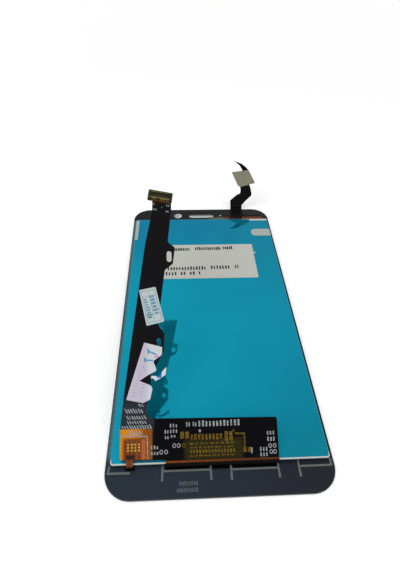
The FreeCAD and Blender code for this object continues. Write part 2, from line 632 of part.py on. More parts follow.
TILT = math.radians(size("board_tilt"))
SLOPE = math.radians(size("arm_slope"))
CIRCUIT_X = value(f"Sizes.module_shift - {MODULE_WIDTH} / 2 + Sizes.board_inset")
MODULE_Y = value(MODULE_LOWER_EDGE)
HALF_FLEX = size("flex_thickness") / 2
BOARD_WAY = Vector(0, math.cos(TILT), math.sin(TILT))
ARM_WAY = Vector(0, math.cos(SLOPE), math.sin(SLOPE))
ARM_UP = left_of(ARM_WAY)
PLAN_REACH = 100.0
SHEET_SPARE = 3.0
ARM_SHEET_WIDTH = 18.5
SHEET_START = 0.4
FOLD_OVERLAP = 3.0
ARM_AXIS = 11.5


def fold_corner():
    """Corner of the path where the circuit folds back over the module's lower edge."""
    turn = math.pi - TILT
    reach = size("fold_radius") * math.tan(turn / 2)
    return Vector(0, MODULE_Y - size("fold_start") - reach, value(ARRAY_LEVEL) - HALF_FLEX)


FOLD_CORNER = fold_corner()


def on_board_line(distance):
    """Point of the path's straight board, by its plan distance from the module's edge."""
    along = MODULE_Y + distance - FOLD_CORNER.y
    return FOLD_CORNER + Vector(0, along, along * math.tan(TILT))


BOARD_LENGTH = size("board_length")
BEND_CORNER = on_board_line(BOARD_LENGTH + size("arm_bend_reach"))
BEND_REACH = size("arm_bend_radius") * math.tan((TILT - SLOPE) / 2)
ARM_START = BEND_CORNER + ARM_WAY * (BEND_REACH + 1)
ARM_END = BEND_CORNER + ARM_WAY * ((size("arm_length") - size("arm_bend_reach")) / ARM_WAY.y)
ARM_MIDDLE_X = CIRCUIT_X + ARM_AXIS
ROLL_SLOPE = math.tan(math.radians(size("connector_roll")))


def arm_end_point(across):
    """Point of the twisted end line of the arm, at a place along X."""
    return Vector(across, ARM_END.y, ARM_END.z - ROLL_SLOPE * (across - ARM_MIDDLE_X))


def main_sheet(low, high):
    """Whole board and arm as a wide sheet between two offsets from its mid thickness."""
    left = CIRCUIT_X - SHEET_SPARE
    right = CIRCUIT_X + size("board_width") + SHEET_SPARE
    arm_right = CIRCUIT_X + ARM_SHEET_WIDTH
    board = bent_strip([on_board_line(SHEET_START), BEND_CORNER, ARM_START],
                       [size("arm_bend_radius")], low, high, left, right)
    start_line = Part.LineSegment(ARM_START + Vector(left, 0, 0),
                                  ARM_START + Vector(arm_right, 0, 0)).toShape()
    end_line = Part.LineSegment(arm_end_point(left), arm_end_point(arm_right)).toShape()
    arm = Part.makeRuledSurface(start_line, end_line)
    onward = ARM_WAY * size("head_height")
    head = Part.Face(Part.makePolygon([arm_end_point(left), arm_end_point(arm_right),
                                       arm_end_point(arm_right) + onward,
                                       arm_end_point(left) + onward, arm_end_point(left)]))
    pieces = []
    for face in (arm, head):
        face.translate(ARM_UP * low)
        pieces.append(face.extrude(ARM_UP * (high - low)))
    return board.fuse(pieces)


def plan_prism(points):
    """Tall prism over an outline in plan."""
    wire = outline_wire(points, lambda across, along: Vector(CIRCUIT_X + across,
                                                             MODULE_Y + along, 0))
    return Part.Face(wire).extrude(Vector(0, 0, PLAN_REACH))


def single_solid(shape):
    """The one solid of a shape, with its seams merged."""
    solids = shape.removeSplitter().Solids
    if len(solids) != 1:
        raise ValueError(f"expected one solid, found {len(solids)}")
    return solids[0]


# Main circuit, its arm with two slotted tabs, and its head

ARM_LENGTH = size("arm_length")


def up_arm(share):
    """Plan distance from the module's lower edge, by the share of the arm's length."""
    return BOARD_LENGTH + share * ARM_LENGTH


BOARD_RIGHT = size("board_width")
BOARD_LOWER = size("board_edge")
FLEX_OUTLINE = (
    (0, BOARD_LOWER, 1.0), (0, BOARD_LENGTH - 2.0, 8.0), (6.3, up_arm(0.76), 40.0),
    (8.65, up_arm(0.95), 2.0), (8.65, up_arm(1) + 2.0), (15.5, up_arm(1) + 2.0),
    (15.5, up_arm(0.965), 20.0), (14.2, up_arm(0.785), 1.5), (16.7, up_arm(0.76), 1.0),
    (16.0, up_arm(0.675), 1.0), (13.2, up_arm(0.64), 1.2), (11.0, up_arm(0.38), 1.5),
    (13.1, up_arm(0.34), 1.2), (12.9, up_arm(0.265), 1.2), (9.0, up_arm(0.166), 2.0),
    (8.9, up_arm(0.12), 6.0), (7.6, up_arm(0.03), 1.6), (8.8, BOARD_LENGTH + 0.3, 0.7),
    (BOARD_RIGHT, BOARD_LENGTH - 0.25, 0.6), (BOARD_RIGHT, BOARD_LOWER),
)
TAB_SLOTS = ((14.7, up_arm(0.71), 1.7, 4.0), (11.4, up_arm(0.303), 1.3, 2.4))


def slot_outline(across, along, wide, long):
    """Slot with round ends, about its middle."""
    round_end = wide / 2 - ROUND_END_GAP
    return [(across + side * wide / 2, along + end * long / 2, round_end)
            for side, end in ((-1, -1), (1, -1), (1, 1), (-1, 1))]


def head_frame():
    """Placement of the arm's head: its middle at mid thickness, Z out of the connector."""
    across = Vector(1, 0, -ROLL_SLOPE).normalize()
    upward = across.cross(ARM_WAY).normalize()
    along = upward.cross(across)
    reach = size("head_height") / 2 + size("head_setback")
    middle = arm_end_point(ARM_MIDDLE_X) + ARM_WAY * reach
    turn = Rotation(across, along, upward, "XYZ")
    return Placement(middle, turn.multiply(Rotation(Vector(0, 0, 1), -size("head_turn"))))


HEAD = head_frame()


def head_wire(width, height, corner):
    """Rounded rectangle about the head's middle, in the head's own plane."""
    spots = [(side * width / 2, end * height / 2, corner)
             for side, end in ((-1, -1), (1, -1), (1, 1), (-1, 1))]
    return outline_wire(spots, lambda across, along: Vector(across, along, 0))


def build_main_flex():
    fold = bent_strip([Vector(0, MODULE_Y + size("bond_length"), FOLD_CORNER.z), FOLD_CORNER,
                       on_board_line(FOLD_OVERLAP)], [size("fold_radius")], -HALF_FLEX, HALF_FLEX,
                      CIRCUIT_X + size("fold_offset"), CIRCUIT_X + BOARD_RIGHT)
    sheet_solid = main_sheet(-HALF_FLEX, HALF_FLEX).common(plan_prism(FLEX_OUTLINE))
    for slot in TAB_SLOTS:
        sheet_solid = sheet_solid.cut(plan_prism(slot_outline(*slot)))
    head = Part.Face(head_wire(size("head_width"), size("head_height"), size("head_corner")))
    head.Placement = HEAD
    head.translate(ARM_UP * -HALF_FLEX)
    head = head.extrude(ARM_UP * 2 * HALF_FLEX)
    keep_shape("main_flex", single_solid(sheet_solid.fuse([fold, head])))


# Labels on the arm

ARM_LABEL = ((-4.1, 5.0, 0.4), (1.3, 6.3, 0.4), (4.25, -4.9, 0.4), (-1.4, -6.3, 0.4))
TORN_LABEL = (
    (-0.4, 8.5, 0.3), (5.3, 7.1, 0.3), (5.2, 4.8, 0.8), (2.5, 3.0, 0.5), (3.7, 0.3, 0.6),
    (0.9, -1.0, 0.3), (-1.6, -2.5, 0.1), (1.9, -3.9, 0.6), (2.4, -4.8, 0.5), (1.7, -7.6, 0.5),
    (-0.4, -8.4, 0.3), (-5.4, -7.5, 0.3),
)
LABEL_SCRAP = (
    (2.35, 2.2, 0.1), (2.05, -0.1, 0.2), (0.65, -1.0, 0.3), (-1.0, -1.8, 0.1),
    (-1.7, -1.05, 0.1), (-2.65, -1.05, 0.2), (-2.85, -0.2, 0.2), (-1.85, -0.4, 0.3),
    (-0.1, -0.5, 0.2), (1.25, 1.05, 0.5),
)


def build_arm_label(name, outline, middle, underside=False):
    """Label on the arm, with its outline drawn about its middle in plan."""
    low = HALF_FLEX + size("seat_gap")
    high = low + size("sticker_thickness")
    span = (-high, -low) if underside else (low, high)
    placed = [(middle[0] + point[0], middle[1] + point[1], point[2]) for point in outline]
    keep_shape(name, single_solid(main_sheet(*span).common(plan_prism(placed))))


build_main_flex()
build_arm_label("arm_label", ARM_LABEL, (8.8, up_arm(0.4635)))
build_arm_label("torn_label", TORN_LABEL, (7.1, up_arm(0.179)))
build_arm_label("underside_label", LABEL_SCRAP, (11.4, up_arm(0.1688)), underside=True)


# Lamp circuit: a strip under the lamps, and a foot that folds up on to the main circuit

LED_FLEX = size("led_flex_thickness")
LED_SEAT = HALF_FLEX + size("seat_gap")
LED_FACE = LED_SEAT + LED_FLEX
BOARD_UP = left_of(BOARD_WAY)
BOARD_TURN = Rotation(Vector(1, 0, 0), size("board_tilt"))
FOOT_PAD = (1.85, 7.45, 1.0, 5.7)
SOLDER_COLUMNS = (2.4, 3.5, 4.5, 5.6)
SOLDER_ROWS = (4.5, 3.8, 3.1)
PAD_ROWS = (
    (2, 17.65, 20.6, 5.5, 7.15, 0.75), (9, 20.75, 30.4, 5.1, 6.45, 0.6),
    (2, 30.8, 33.5, 4.66, 6.9, 0.75), (15, 20.45, 34.05, 2.0, 2.8, 0.6),
    (2, 36.2, 38.8, 1.85, 3.0, 0.75),
)


def on_board(across, along, height):
    """Point over the straight board: plan place, and height over its mid thickness."""
    return on_board_line(along) + BOARD_UP * height + Vector(CIRCUIT_X + across, 0, 0)


def board_block(left, right, lower, upper, low, high):
    """Block that lies along the straight board, between two heights over its middle."""
    length = (upper - lower) / math.cos(TILT)
    block = Part.makeBox(right - left, length, high - low)
    block.Placement = Placement(on_board(left, lower, low), BOARD_TURN)
    return block


def build_backlight_flex():
    level = value(FRAME_LEVEL) + LED_FLEX / 2
    seat = LED_SEAT + LED_FLEX / 2
    above = on_board(-CIRCUIT_X, 0, seat)
    corner = above + BOARD_WAY * ((level - above.z) / math.sin(TILT))
    fold_start = MODULE_Y - size("led_fold_start")
    radius = (fold_start - corner.y) / math.tan((math.pi - TILT) / 2)
    inner = value(f"{WINDOW_LOWER} + Sizes.led_bay - Sizes.sheet_play")
    lower = value(f"{WINDOW_LOWER} + Sizes.sheet_play")
    foot_left = CIRCUIT_X + size("led_foot_offset") - size("led_foot_width") / 2
    foot = bent_strip([Vector(0, inner, level), corner, on_board(-CIRCUIT_X, FOOT_PAD[3], seat)],
                      [radius], -LED_FLEX / 2, LED_FLEX / 2,
                      foot_left, foot_left + size("led_foot_width"))
    half = value(LED_STRIP_WIDTH) / 2
    strip = Part.makeBox(2 * half, inner - lower, LED_FLEX,
                         Vector(size("module_shift") - half, lower, value(FRAME_LEVEL)))
    pad_block = board_block(*FOOT_PAD, LED_SEAT, LED_FACE)
    keep_shape("backlight_flex", single_solid(foot.fuse([strip, pad_block])))


def build_solder_joints():
    """Twelve low solder domes that join the lamp circuit to the main circuit."""
    joints = []
    for across in SOLDER_COLUMNS:
        for along in SOLDER_ROWS:
            dome = Part.makeCone(size("solder_foot"), size("solder_top"), size("solder_height"))
            dome.Placement = Placement(on_board(across, along, LED_FACE), BOARD_TURN)
            joints.append(dome)
    keep_shape("solder_joints", Part.makeCompound(joints))


def pad_row(count, left, right, lower, upper, fill):
    """Row of equal gold pads; fill is the share of the row that they cover."""
    pitch = (right - left) / count
    return [board_block(left + pitch * place, left + pitch * (place + fill), lower, upper,
                        HALF_FLEX, HALF_FLEX + size("pad_thickness"))
            for place in range(count)]


def build_test_pads():
    pads = [gold for row in PAD_ROWS for gold in pad_row(*row)]
    keep_shape("test_pads", Part.makeCompound(pads))


# Display connector on the arm's head

STIFFENER = size("stiffener_thickness")


def head_block(width, height, low, high, corner):
    """Plate in the head's own frame, between two heights over its mid thickness."""
    face = Part.Face(head_wire(width, height, corner))
    face.translate(Vector(0, 0, low))
    return face.extrude(Vector(0, 0, high - low))


def build_connector():
    low = HALF_FLEX + size("seat_gap")
    high = low + size("plug_thickness")
    width, height = size("plug_width"), size("plug_height")
    keep_shape("connector_stiffener",
               head_block(size("head_width"), size("head_height"), -low - STIFFENER, -low,
                          size("head_corner")), HEAD)
    corner = size("plug_corner")
    body = head_block(width, height, low, high, corner)
    groove = head_block(width - 2 * size("plug_end"), height - 2 * size("plug_side"),
                        high - size("groove_depth"), high, corner)
    keep_shape("connector_body", body.cut(groove), HEAD)
    contacts = []
    count, pitch = int(size("contact_count")), size("contact_pitch")
    wide, long = size("contact_width"), size("contact_length")
    for side in (-1, 1):
        along = side * (height / 2 - size("contact_inset"))
        for place in range(count):
            across = (place - (count - 1) / 2) * pitch
            corner = Vector(across - wide / 2, along - long / 2, high)
            contacts.append(Part.makeBox(wide, long, size("contact_thickness"), corner))
    keep_shape("connector_contacts", Part.makeCompound(contacts), HEAD)


# Touch circuit: bond on the sensor, bend over the glass's edge, rising film and stiffener

TOUCH_FLEX = size("touch_flex_thickness")
GLASS_END = value(GLASS_UPPER_EDGE)
TOUCH_LEVEL = value(ADHESIVE_LEVEL)
LEAN_SLOPE = math.tan(math.radians(size("touch_lean")))
YAW_SLOPE = math.tan(math.radians(size("touch_yaw")))
END_SLOPE = math.tan(math.radians(size("tongue_yaw")))
RISE_BACK = GLASS_END + size("touch_overhang")
NECK_LEFT = value(BAND_LEFT) + size("neck_offset")
NECK_RIGHT = NECK_LEFT + size("neck_width")
RISE_LEFT, RISE_RIGHT = NECK_LEFT - 3.5, NECK_RIGHT + 8.6
RISE_START, RISE_STEP, RISE_TOP = 1.7, 9.7, 26.0
STIFFENER_SPOT = Vector(NECK_LEFT + 11.97, GLASS_END + 3.02, 14.58)
CREASE_SPOT = Vector(NECK_LEFT + 8.67, GLASS_END + 6.6, 19.87)
TOUCH_OUTLINE = (
    (0, 1.4), (-0.1, 4.7, 0.3), (3.1, 7.35, 0.6), (4.9, 8.4, 0.5), (5.1, 9.7, 0.5),
    (4.8, 11.5), (4.0, 12.2), (1.0, 17.0), (5.4, 18.6), (5.5, 19.4), (4.0, 21.6, 1.0),
    (2.4, 22.8, 1.0), (0.8, 23.7), (4.8, 22.7, 1.5), (6.8, 21.4, 1.0), (8.2, 20.1),
    (8.4, 19.3), (11.4, 14.7), (9.2, 13.5), (10.0, 11.5, 1.0), (10.5, 9.4, 0.8),
    (10.5, 8.15, 0.8), (size("neck_width"), 2.9, 0.5), (size("neck_width"), 1.4),
)
RISE_OVERLAP = 0.2
TOUCH_PLUG_X, TOUCH_PLUG_Z = NECK_LEFT + 6.4, 15.9
PLUG_ACROSS, PLUG_UPWARD = Vector(8.26, 0, 2.39), Vector(-3.31, 0, 5.29)
TOUCH_STIFFENER = ((0.4, 17.4, 0.3), (8.66, 19.79, 0.4), (11.97, 14.58, 0.4),
                   (4.8, 11.5, 0.2), (3.7, 11.8, 0.2))


def touch_lean_depth(across, height):
    """Y of the back of the leaning panel that carries the stiffener."""
    return (STIFFENER_SPOT.y - YAW_SLOPE * (across - STIFFENER_SPOT.x)
            + LEAN_SLOPE * (height - STIFFENER_SPOT.z))


def touch_end_depth(across):
    """Y of the back of the upright end of the touch circuit."""
    return CREASE_SPOT.y - END_SLOPE * (across - CREASE_SPOT.x)


def crease_height(across):
    """Height at which the leaning panel meets the upright end."""
    return (touch_end_depth(across) - touch_lean_depth(across, 0)) / LEAN_SLOPE


def rise_line(depth, height):
    """Line across the rising film, from two functions of the place along X."""
    spots = [Vector(across, depth(across), height(across))
             for across in (RISE_LEFT, RISE_RIGHT)]
    return Part.LineSegment(*spots).toShape()


def front_prism(points):
    """Long prism over an outline seen from the front, measured from the neck's left side."""
    wire = outline_wire(points, lambda across, height: Vector(NECK_LEFT + across, 0, height))
    return Part.Face(wire).extrude(Vector(0, PLAN_REACH, 0))


def leaning_plate(outline, back_shift, thickness):
    """Plate parallel to the leaning panel, cut to an outline seen from the front."""
    lines = [rise_line(lambda x, z=z: touch_lean_depth(x, z) + back_shift, lambda x, z=z: z)
             for z in (0.0, RISE_TOP)]
    sheet_face = Part.makeRuledSurface(*lines)
    return sheet_face.extrude(Vector(0, -thickness, 0)).common(front_prism(outline))


def build_touch_flex():
    middle_y = RISE_BACK - TOUCH_FLEX / 2
    band_lower = value(BAND_LOWER)
    neck = bent_strip([Vector(0, band_lower + 1, TOUCH_LEVEL + TOUCH_FLEX / 2),
                       Vector(0, middle_y, TOUCH_LEVEL + TOUCH_FLEX / 2),
                       Vector(0, middle_y, RISE_START + RISE_OVERLAP)],
                      [size("touch_bend_radius")], -TOUCH_FLEX / 2, TOUCH_FLEX / 2,
                      NECK_LEFT, NECK_RIGHT)
    steps = []
    for left, length in ((BAND_STEP, "band_length"), (BAND_LEFT, "band_step_length")):
        corner = Vector(value(left), band_lower, TOUCH_LEVEL)
        steps.append(Part.makeBox(value(BAND_RIGHT) - corner.x, size(length), TOUCH_FLEX, corner))
    levels = (rise_line(lambda x: RISE_BACK, lambda x: RISE_START),
              rise_line(lambda x: touch_lean_depth(x, RISE_STEP), lambda x: RISE_STEP),
              rise_line(touch_end_depth, crease_height),
              rise_line(touch_end_depth, lambda x: RISE_TOP))
    panels = [Part.makeRuledSurface(lower, upper).extrude(Vector(0, -TOUCH_FLEX, 0))
              for lower, upper in zip(levels, levels[1:])]
    rise = panels[0].fuse(panels[1:]).common(front_prism(TOUCH_OUTLINE))
    keep_shape("touch_flex", single_solid(neck.fuse(steps + [rise])))


def build_touch_plates():
    """Stiffener in front of the leaning panel, and the connector behind it."""
    keep_shape("touch_stiffener",
               single_solid(leaning_plate(TOUCH_STIFFENER, -TOUCH_FLEX, STIFFENER)))
    right, up = [Vector(way.x, LEAN_SLOPE * way.z - YAW_SLOPE * way.x, way.z)
                 for way in (PLUG_ACROSS, PLUG_UPWARD)]
    turn = Rotation(right, up, right.cross(up), "XZY")
    plug = Part.makeBox(size("touch_plug_width"), size("touch_plug_height"),
                        size("plug_thickness"))
    middle = Vector(TOUCH_PLUG_X, touch_lean_depth(TOUCH_PLUG_X, TOUCH_PLUG_Z), TOUCH_PLUG_Z)
    offset = Vector(size("touch_plug_width") / 2, size("touch_plug_height") / 2,
                    size("plug_thickness"))
    keep_shape("touch_connector", plug, Placement(middle - turn.multVec(offset), turn))


build_backlight_flex()
build_solder_joints()
build_test_pads()
build_connector()
build_touch_flex()
build_touch_plates()
doc.recompute()


# Check each piece, then write it to its own file

os.makedirs("parts", exist_ok=True)
for item in doc.Objects:
    if "Invalid" in item.State or "Error" in item.State:
        raise ValueError(f"{item.Name} is {item.State}")
for node in nodes:
    if node.Shape.isNull() or not node.Shape.isValid():
        raise ValueError(f"{node.Label} has no valid shape")
    node.Shape.exportStep(os.path.join("parts", f"{node.Label}.step"))
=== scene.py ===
# %% [markdown]
# # A phone display lying on its glass
#
# The part is a replacement display for a phone. It lies with its cover glass down, so we look at
# its back: a blue protective film, labels, and two flexible circuits that stand up from it.
# The exact shapes come from the CAD frame. This script adds what CAD leaves out: finishes,
# printed marks, traces, and the small parts of the connector.

# %% The CAD frame
import math
import random

import bmesh
import bpy
from mathutils import Matrix, Vector
from mathutils.bvhtree import BVHTree


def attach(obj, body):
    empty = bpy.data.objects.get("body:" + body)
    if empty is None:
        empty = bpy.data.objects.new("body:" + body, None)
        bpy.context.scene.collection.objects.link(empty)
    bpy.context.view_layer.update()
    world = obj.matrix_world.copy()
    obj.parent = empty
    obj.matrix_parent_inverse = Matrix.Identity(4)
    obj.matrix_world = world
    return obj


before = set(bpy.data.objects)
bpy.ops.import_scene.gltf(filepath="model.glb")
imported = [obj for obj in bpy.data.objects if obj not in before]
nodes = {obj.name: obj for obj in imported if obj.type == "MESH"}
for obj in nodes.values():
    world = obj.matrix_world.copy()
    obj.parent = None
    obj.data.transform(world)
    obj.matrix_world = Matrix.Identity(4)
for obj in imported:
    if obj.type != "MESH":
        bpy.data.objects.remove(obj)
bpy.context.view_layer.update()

MM = 0.001
print("CAD nodes:", len(nodes))

# %% [markdown]
# ## The camera
#
# The photograph was solved from the outline of the glass, whose size is known. The solution is a
# point that the camera looks at, a distance, three turns and a lens. Blender wants a matrix: its
# columns are the camera's right, its up and its back. We build those from the turns, because a
# matrix holds the roll as exactly as the other two, and aiming by a constraint doesn't.

# %% Camera
CAMERA_TARGET = Vector((-2.82, 14.21, 0.7)) * MM
CAMERA_DISTANCE = 171.6 * MM
CAMERA_AZIMUTH = math.radians(-3.57)
CAMERA_ELEVATION = math.radians(45.34)
CAMERA_ROLL = math.radians(-1.47)
FOCAL_PIXELS = 402
PICTURE_HEIGHT = 570
SENSOR = 36

camera_back = Vector((
    math.sin(CAMERA_AZIMUTH) * math.cos(CAMERA_ELEVATION),
    -math.cos(CAMERA_AZIMUTH) * math.cos(CAMERA_ELEVATION),
    math.sin(CAMERA_ELEVATION),
))
level_right = Vector((0, 0, 1)).cross(camera_back).normalized()
level_down = level_right.cross(camera_back)
camera_right = math.cos(CAMERA_ROLL) * level_right + math.sin(CAMERA_ROLL) * level_down
camera_up = math.sin(CAMERA_ROLL) * level_right - math.cos(CAMERA_ROLL) * level_down

camera_data = bpy.data.cameras.new("camera")
camera_data.sensor_width = SENSOR
camera_data.lens = SENSOR * FOCAL_PIXELS / PICTURE_HEIGHT
camera_data.clip_start = 5 * MM
camera = bpy.data.objects.new("camera", camera_data)
bpy.context.scene.collection.objects.link(camera)
turned = Matrix((camera_right, camera_up, camera_back)).transposed().to_4x4()
camera.matrix_world = Matrix.Translation(CAMERA_TARGET + camera_back * CAMERA_DISTANCE) @ turned
bpy.context.scene.camera = camera
bpy.context.scene.view_settings.view_transform = "Standard"
print("camera at", [round(c / MM, 1) for c in camera.matrix_world.translation], "mm")

# %% [markdown]
# ## Ground, room and lamps
#
# A display is mostly mirrors: the blue film, the glass edge and the gold all show the room. So the
# room is plain white where the camera or a reflection sees it, and a little darker where it lights
# the object. Two large soft lamps make up the rest, which gives the circuits a light side and
# leaves a soft shadow on the ground. The lamps are hidden from reflections, because the film would
# show them as bright squares, and the ground gets whiter far away, where the lamps don't reach.

# %% Room
ROOM_LIGHT = 0.62
GROUND_SHINE = 0.26
FAR_SHINE = 0.5
SHINE_STARTS = 0.3
SHINE_FULL = 1.2
GROUND_RADIUS = 3
GROUND_GAP = 0.01 * MM


def colour(red, green, blue):
    """The linear colour for three 0 to 255 values, as a picture has them."""
    shares = [part / 255 for part in (red, green, blue)]
    return tuple(s / 12.92 if s <= 0.04045 else ((s + 0.055) / 1.055) ** 2.4 for s in shares) + (1,)


def seen_directly(tree):
    """A factor of 1 for rays that show the room: camera, glossy and transmission rays."""
    path = tree.nodes.new("ShaderNodeLightPath")
    total = path.outputs["Is Camera Ray"]
    for kind in ("Is Glossy Ray", "Is Transmission Ray"):
        joined = tree.nodes.new("ShaderNodeMath")
        joined.operation = "MAXIMUM"
        tree.links.new(total, joined.inputs[0])
        tree.links.new(path.outputs[kind], joined.inputs[1])
        total = joined.outputs[0]
    return total


room = bpy.data.worlds.new("room")
room.use_nodes = True
room_tree = room.node_tree
room_lit = room_tree.nodes["Background"]
room_lit.inputs["Strength"].default_value = ROOM_LIGHT
room_lit.inputs["Color"].default_value = (1, 1, 1, 1)
room_seen = room_tree.nodes.new("ShaderNodeBackground")
room_seen.inputs["Color"].default_value = (1, 1, 1, 1)
room_mix = room_tree.nodes.new("ShaderNodeMixShader")
room_tree.links.new(seen_directly(room_tree), room_mix.inputs[0])
room_tree.links.new(room_lit.outputs[0], room_mix.inputs[1])
room_tree.links.new(room_seen.outputs[0], room_mix.inputs[2])
room_tree.links.new(room_mix.outputs[0], room_tree.nodes["World Output"].inputs["Surface"])
bpy.context.scene.world = room
print("room light", ROOM_LIGHT)

# %% Ground
ground_finish = bpy.data.materials.new("ground_finish")
ground_finish.use_nodes = True
ground_tree = ground_finish.node_tree
ground_shader = ground_tree.nodes["Principled BSDF"]
ground_shader.inputs["Base Color"].default_value = (0.9, 0.9, 0.9, 1)
ground_shader.inputs["Roughness"].default_value = 1
ground_shader.inputs["Specular IOR Level"].default_value = 0
ground_shader.inputs["Emission Color"].default_value = (1, 1, 1, 1)
ground_place = ground_tree.nodes.new("ShaderNodeTexCoord")
distance = ground_tree.nodes.new("ShaderNodeVectorMath")
distance.operation = "LENGTH"
ground_tree.links.new(ground_place.outputs["Object"], distance.inputs[0])
farther = ground_tree.nodes.new("ShaderNodeMapRange")
farther.inputs["From Min"].default_value = SHINE_STARTS
farther.inputs["From Max"].default_value = SHINE_FULL
farther.inputs["To Min"].default_value = GROUND_SHINE
farther.inputs["To Max"].default_value = FAR_SHINE
ground_tree.links.new(distance.outputs["Value"], farther.inputs["Value"])
shine = ground_tree.nodes.new("ShaderNodeMath")
shine.operation = "MULTIPLY"
ground_tree.links.new(seen_directly(ground_tree), shine.inputs[0])
ground_tree.links.new(farther.outputs["Result"], shine.inputs[1])
ground_tree.links.new(shine.outputs[0], ground_shader.inputs["Emission Strength"])

ground_form = bmesh.new()
bmesh.ops.create_circle(ground_form, cap_ends=True, segments=96, radius=GROUND_RADIUS)
bmesh.ops.translate(ground_form, vec=(0, 0, -GROUND_GAP), verts=ground_form.verts[:])
ground_mesh = bpy.data.meshes.new("ground")
ground_form.to_mesh(ground_mesh)
ground_form.free()
ground_mesh.materials.append(ground_finish)
ground = bpy.data.objects.new("ground", ground_mesh)
bpy.context.scene.collection.objects.link(ground)
print("ground radius", GROUND_RADIUS, "m")

# %% Lamps
LAMPS = {
    "window_lamp": ((-0.55, -0.35, 0.65), 0.6, 2.6),
    "fill_lamp": ((0.55, -0.45, 0.6), 0.6, 1.5),
}
for name, (place, wide, watts) in LAMPS.items():
    lamp_data = bpy.data.lights.new(name, "AREA")
    lamp_data.size = wide
    lamp_data.energy = watts
    lamp = bpy.data.objects.new(name, lamp_data)
    lamp.location = place
    lamp.rotation_euler = Vector(place).to_track_quat("Z", "Y").to_euler()
    lamp.visible_glossy = False
    bpy.context.scene.collection.objects.link(lamp)
    print(name, watts, "W")

# %% [markdown]
# ## A kit for finishes
#
# Every finish here is made of the same few steps, so each step gets a small function. A finish
# starts with a place in millimetres, because that makes every size readable: a grain of 0.3 is
# 0.3 mm. Noise at that place varies the colour and the roughness, and that noise or a finer one is
# the relief. Numbers that are the same all over stay on the shader's own sockets.

# %% Helpers for finishes
def new_finish(name, roughness=0.5, metallic=0.0, specular=0.5):
    """A material with its tree and its shader."""
    made = bpy.data.materials.new(name)
    made.use_nodes = True
    shader = made.node_tree.nodes["Principled BSDF"]
    shader.inputs["Roughness"].default_value = roughness
    shader.inputs["Metallic"].default_value = metallic
    shader.inputs["Specular IOR Level"].default_value = specular
    return made, made.node_tree, shader


def place_in_mm(tree, stretch=(1, 1, 1)):
    """The object's own coordinates, in millimetres."""
    source = tree.nodes.new("ShaderNodeTexCoord")
    mapping = tree.nodes.new("ShaderNodeMapping")
    mapping.inputs["Scale"].default_value = [part / MM for part in stretch]
    tree.links.new(source.outputs["Object"], mapping.inputs["Vector"])
    return mapping.outputs["Vector"]


def noise(tree, place, size_mm, detail):
    """Soft blotches of about one size."""
    made = tree.nodes.new("ShaderNodeTexNoise")
    made.inputs["Scale"].default_value = 1 / size_mm
    made.inputs["Detail"].default_value = detail
    tree.links.new(place, made.inputs["Vector"])
    return made.outputs["Fac"]


def stripes(tree, place, pitch_mm, direction="X"):
    """Even ridges, such as traces under a cover film."""
    made = tree.nodes.new("ShaderNodeTexWave")
    made.bands_direction = direction
    made.inputs["Scale"].default_value = math.pi / (10 * pitch_mm)
    tree.links.new(place, made.inputs["Vector"])
    return made.outputs["Fac"]


def spread(tree, factor, low, high, start=0.3, end=0.7):
    """The factor between start and end, spread from low to high."""
    made = tree.nodes.new("ShaderNodeMapRange")
    made.interpolation_type = "SMOOTHSTEP"
    made.inputs["From Min"].default_value = start
    made.inputs["From Max"].default_value = end
    made.inputs["To Min"].default_value = low
    made.inputs["To Max"].default_value = high
    tree.links.new(factor, made.inputs["Value"])
    return made.outputs["Result"]


def blend_colours(tree, factor, first, second):
    """The first colour where the factor is 0 and the second where it is 1."""
    made = tree.nodes.new("ShaderNodeMix")
    made.data_type = "RGBA"
    tree.links.new(factor, made.inputs["Factor"])
    for tone, socket in ((first, made.inputs["A"]), (second, made.inputs["B"])):
        if isinstance(tone, tuple):
            socket.default_value = tone
        else:
            tree.links.new(tone, socket)
    return made.outputs["Result"]


def relief(tree, shader, height, depth_mm):
    """A bump of that real depth on the shader."""
    made = tree.nodes.new("ShaderNodeBump")
    made.inputs["Strength"].default_value = 1
    made.inputs["Distance"].default_value = depth_mm * MM
    tree.links.new(height, made.inputs["Height"])
    tree.links.new(made.outputs["Normal"], shader.inputs["Normal"])


def paint(tree, shader, tone, rough):
    """A tone and a roughness, both from nodes, on the shader."""
    tree.links.new(tone, shader.inputs["Base Color"])
    tree.links.new(rough, shader.inputs["Roughness"])


def split_place(tree, place):
    """A place's three parts, to mark zones along the part's own axes."""
    made = tree.nodes.new("ShaderNodeSeparateXYZ")
    tree.links.new(place, made.inputs[0])
    return made


def combine(tree, operation, first, second):
    """A sum, product, minimum or maximum of two factors."""
    made = tree.nodes.new("ShaderNodeMath")
    made.operation = operation
    for part, socket in ((first, made.inputs[0]), (second, made.inputs[1])):
        if isinstance(part, (int, float)):
            socket.default_value = part
        else:
            tree.links.new(part, socket)
    return made.outputs[0]


def zone(tree, split, axis, low, high, soft):
    """A factor of 1 between two places along an axis, with soft ends."""
    rising = spread(tree, split.outputs[axis], 0, 1, low - soft, low + soft)
    falling = spread(tree, split.outputs[axis], 1, 0, high - soft, high + soft)
    return combine(tree, "MULTIPLY", rising, falling)


def patch(tree, split, left, lower, right, upper, soft):
    """A factor of 1 inside a rectangle in plan, given by two corners."""
    return combine(tree, "MULTIPLY", zone(tree, split, "X", left, right, soft),
                   zone(tree, split, "Y", lower, upper, soft))


def zoned_finish(name, roughness, metallic, specular):
    """A new finish with its place in millimetres, whole and split, for zones."""
    made, tree, shader = new_finish(name, roughness, metallic, specular)
    place = place_in_mm(tree)
    return made, tree, shader, place, split_place(tree, place)


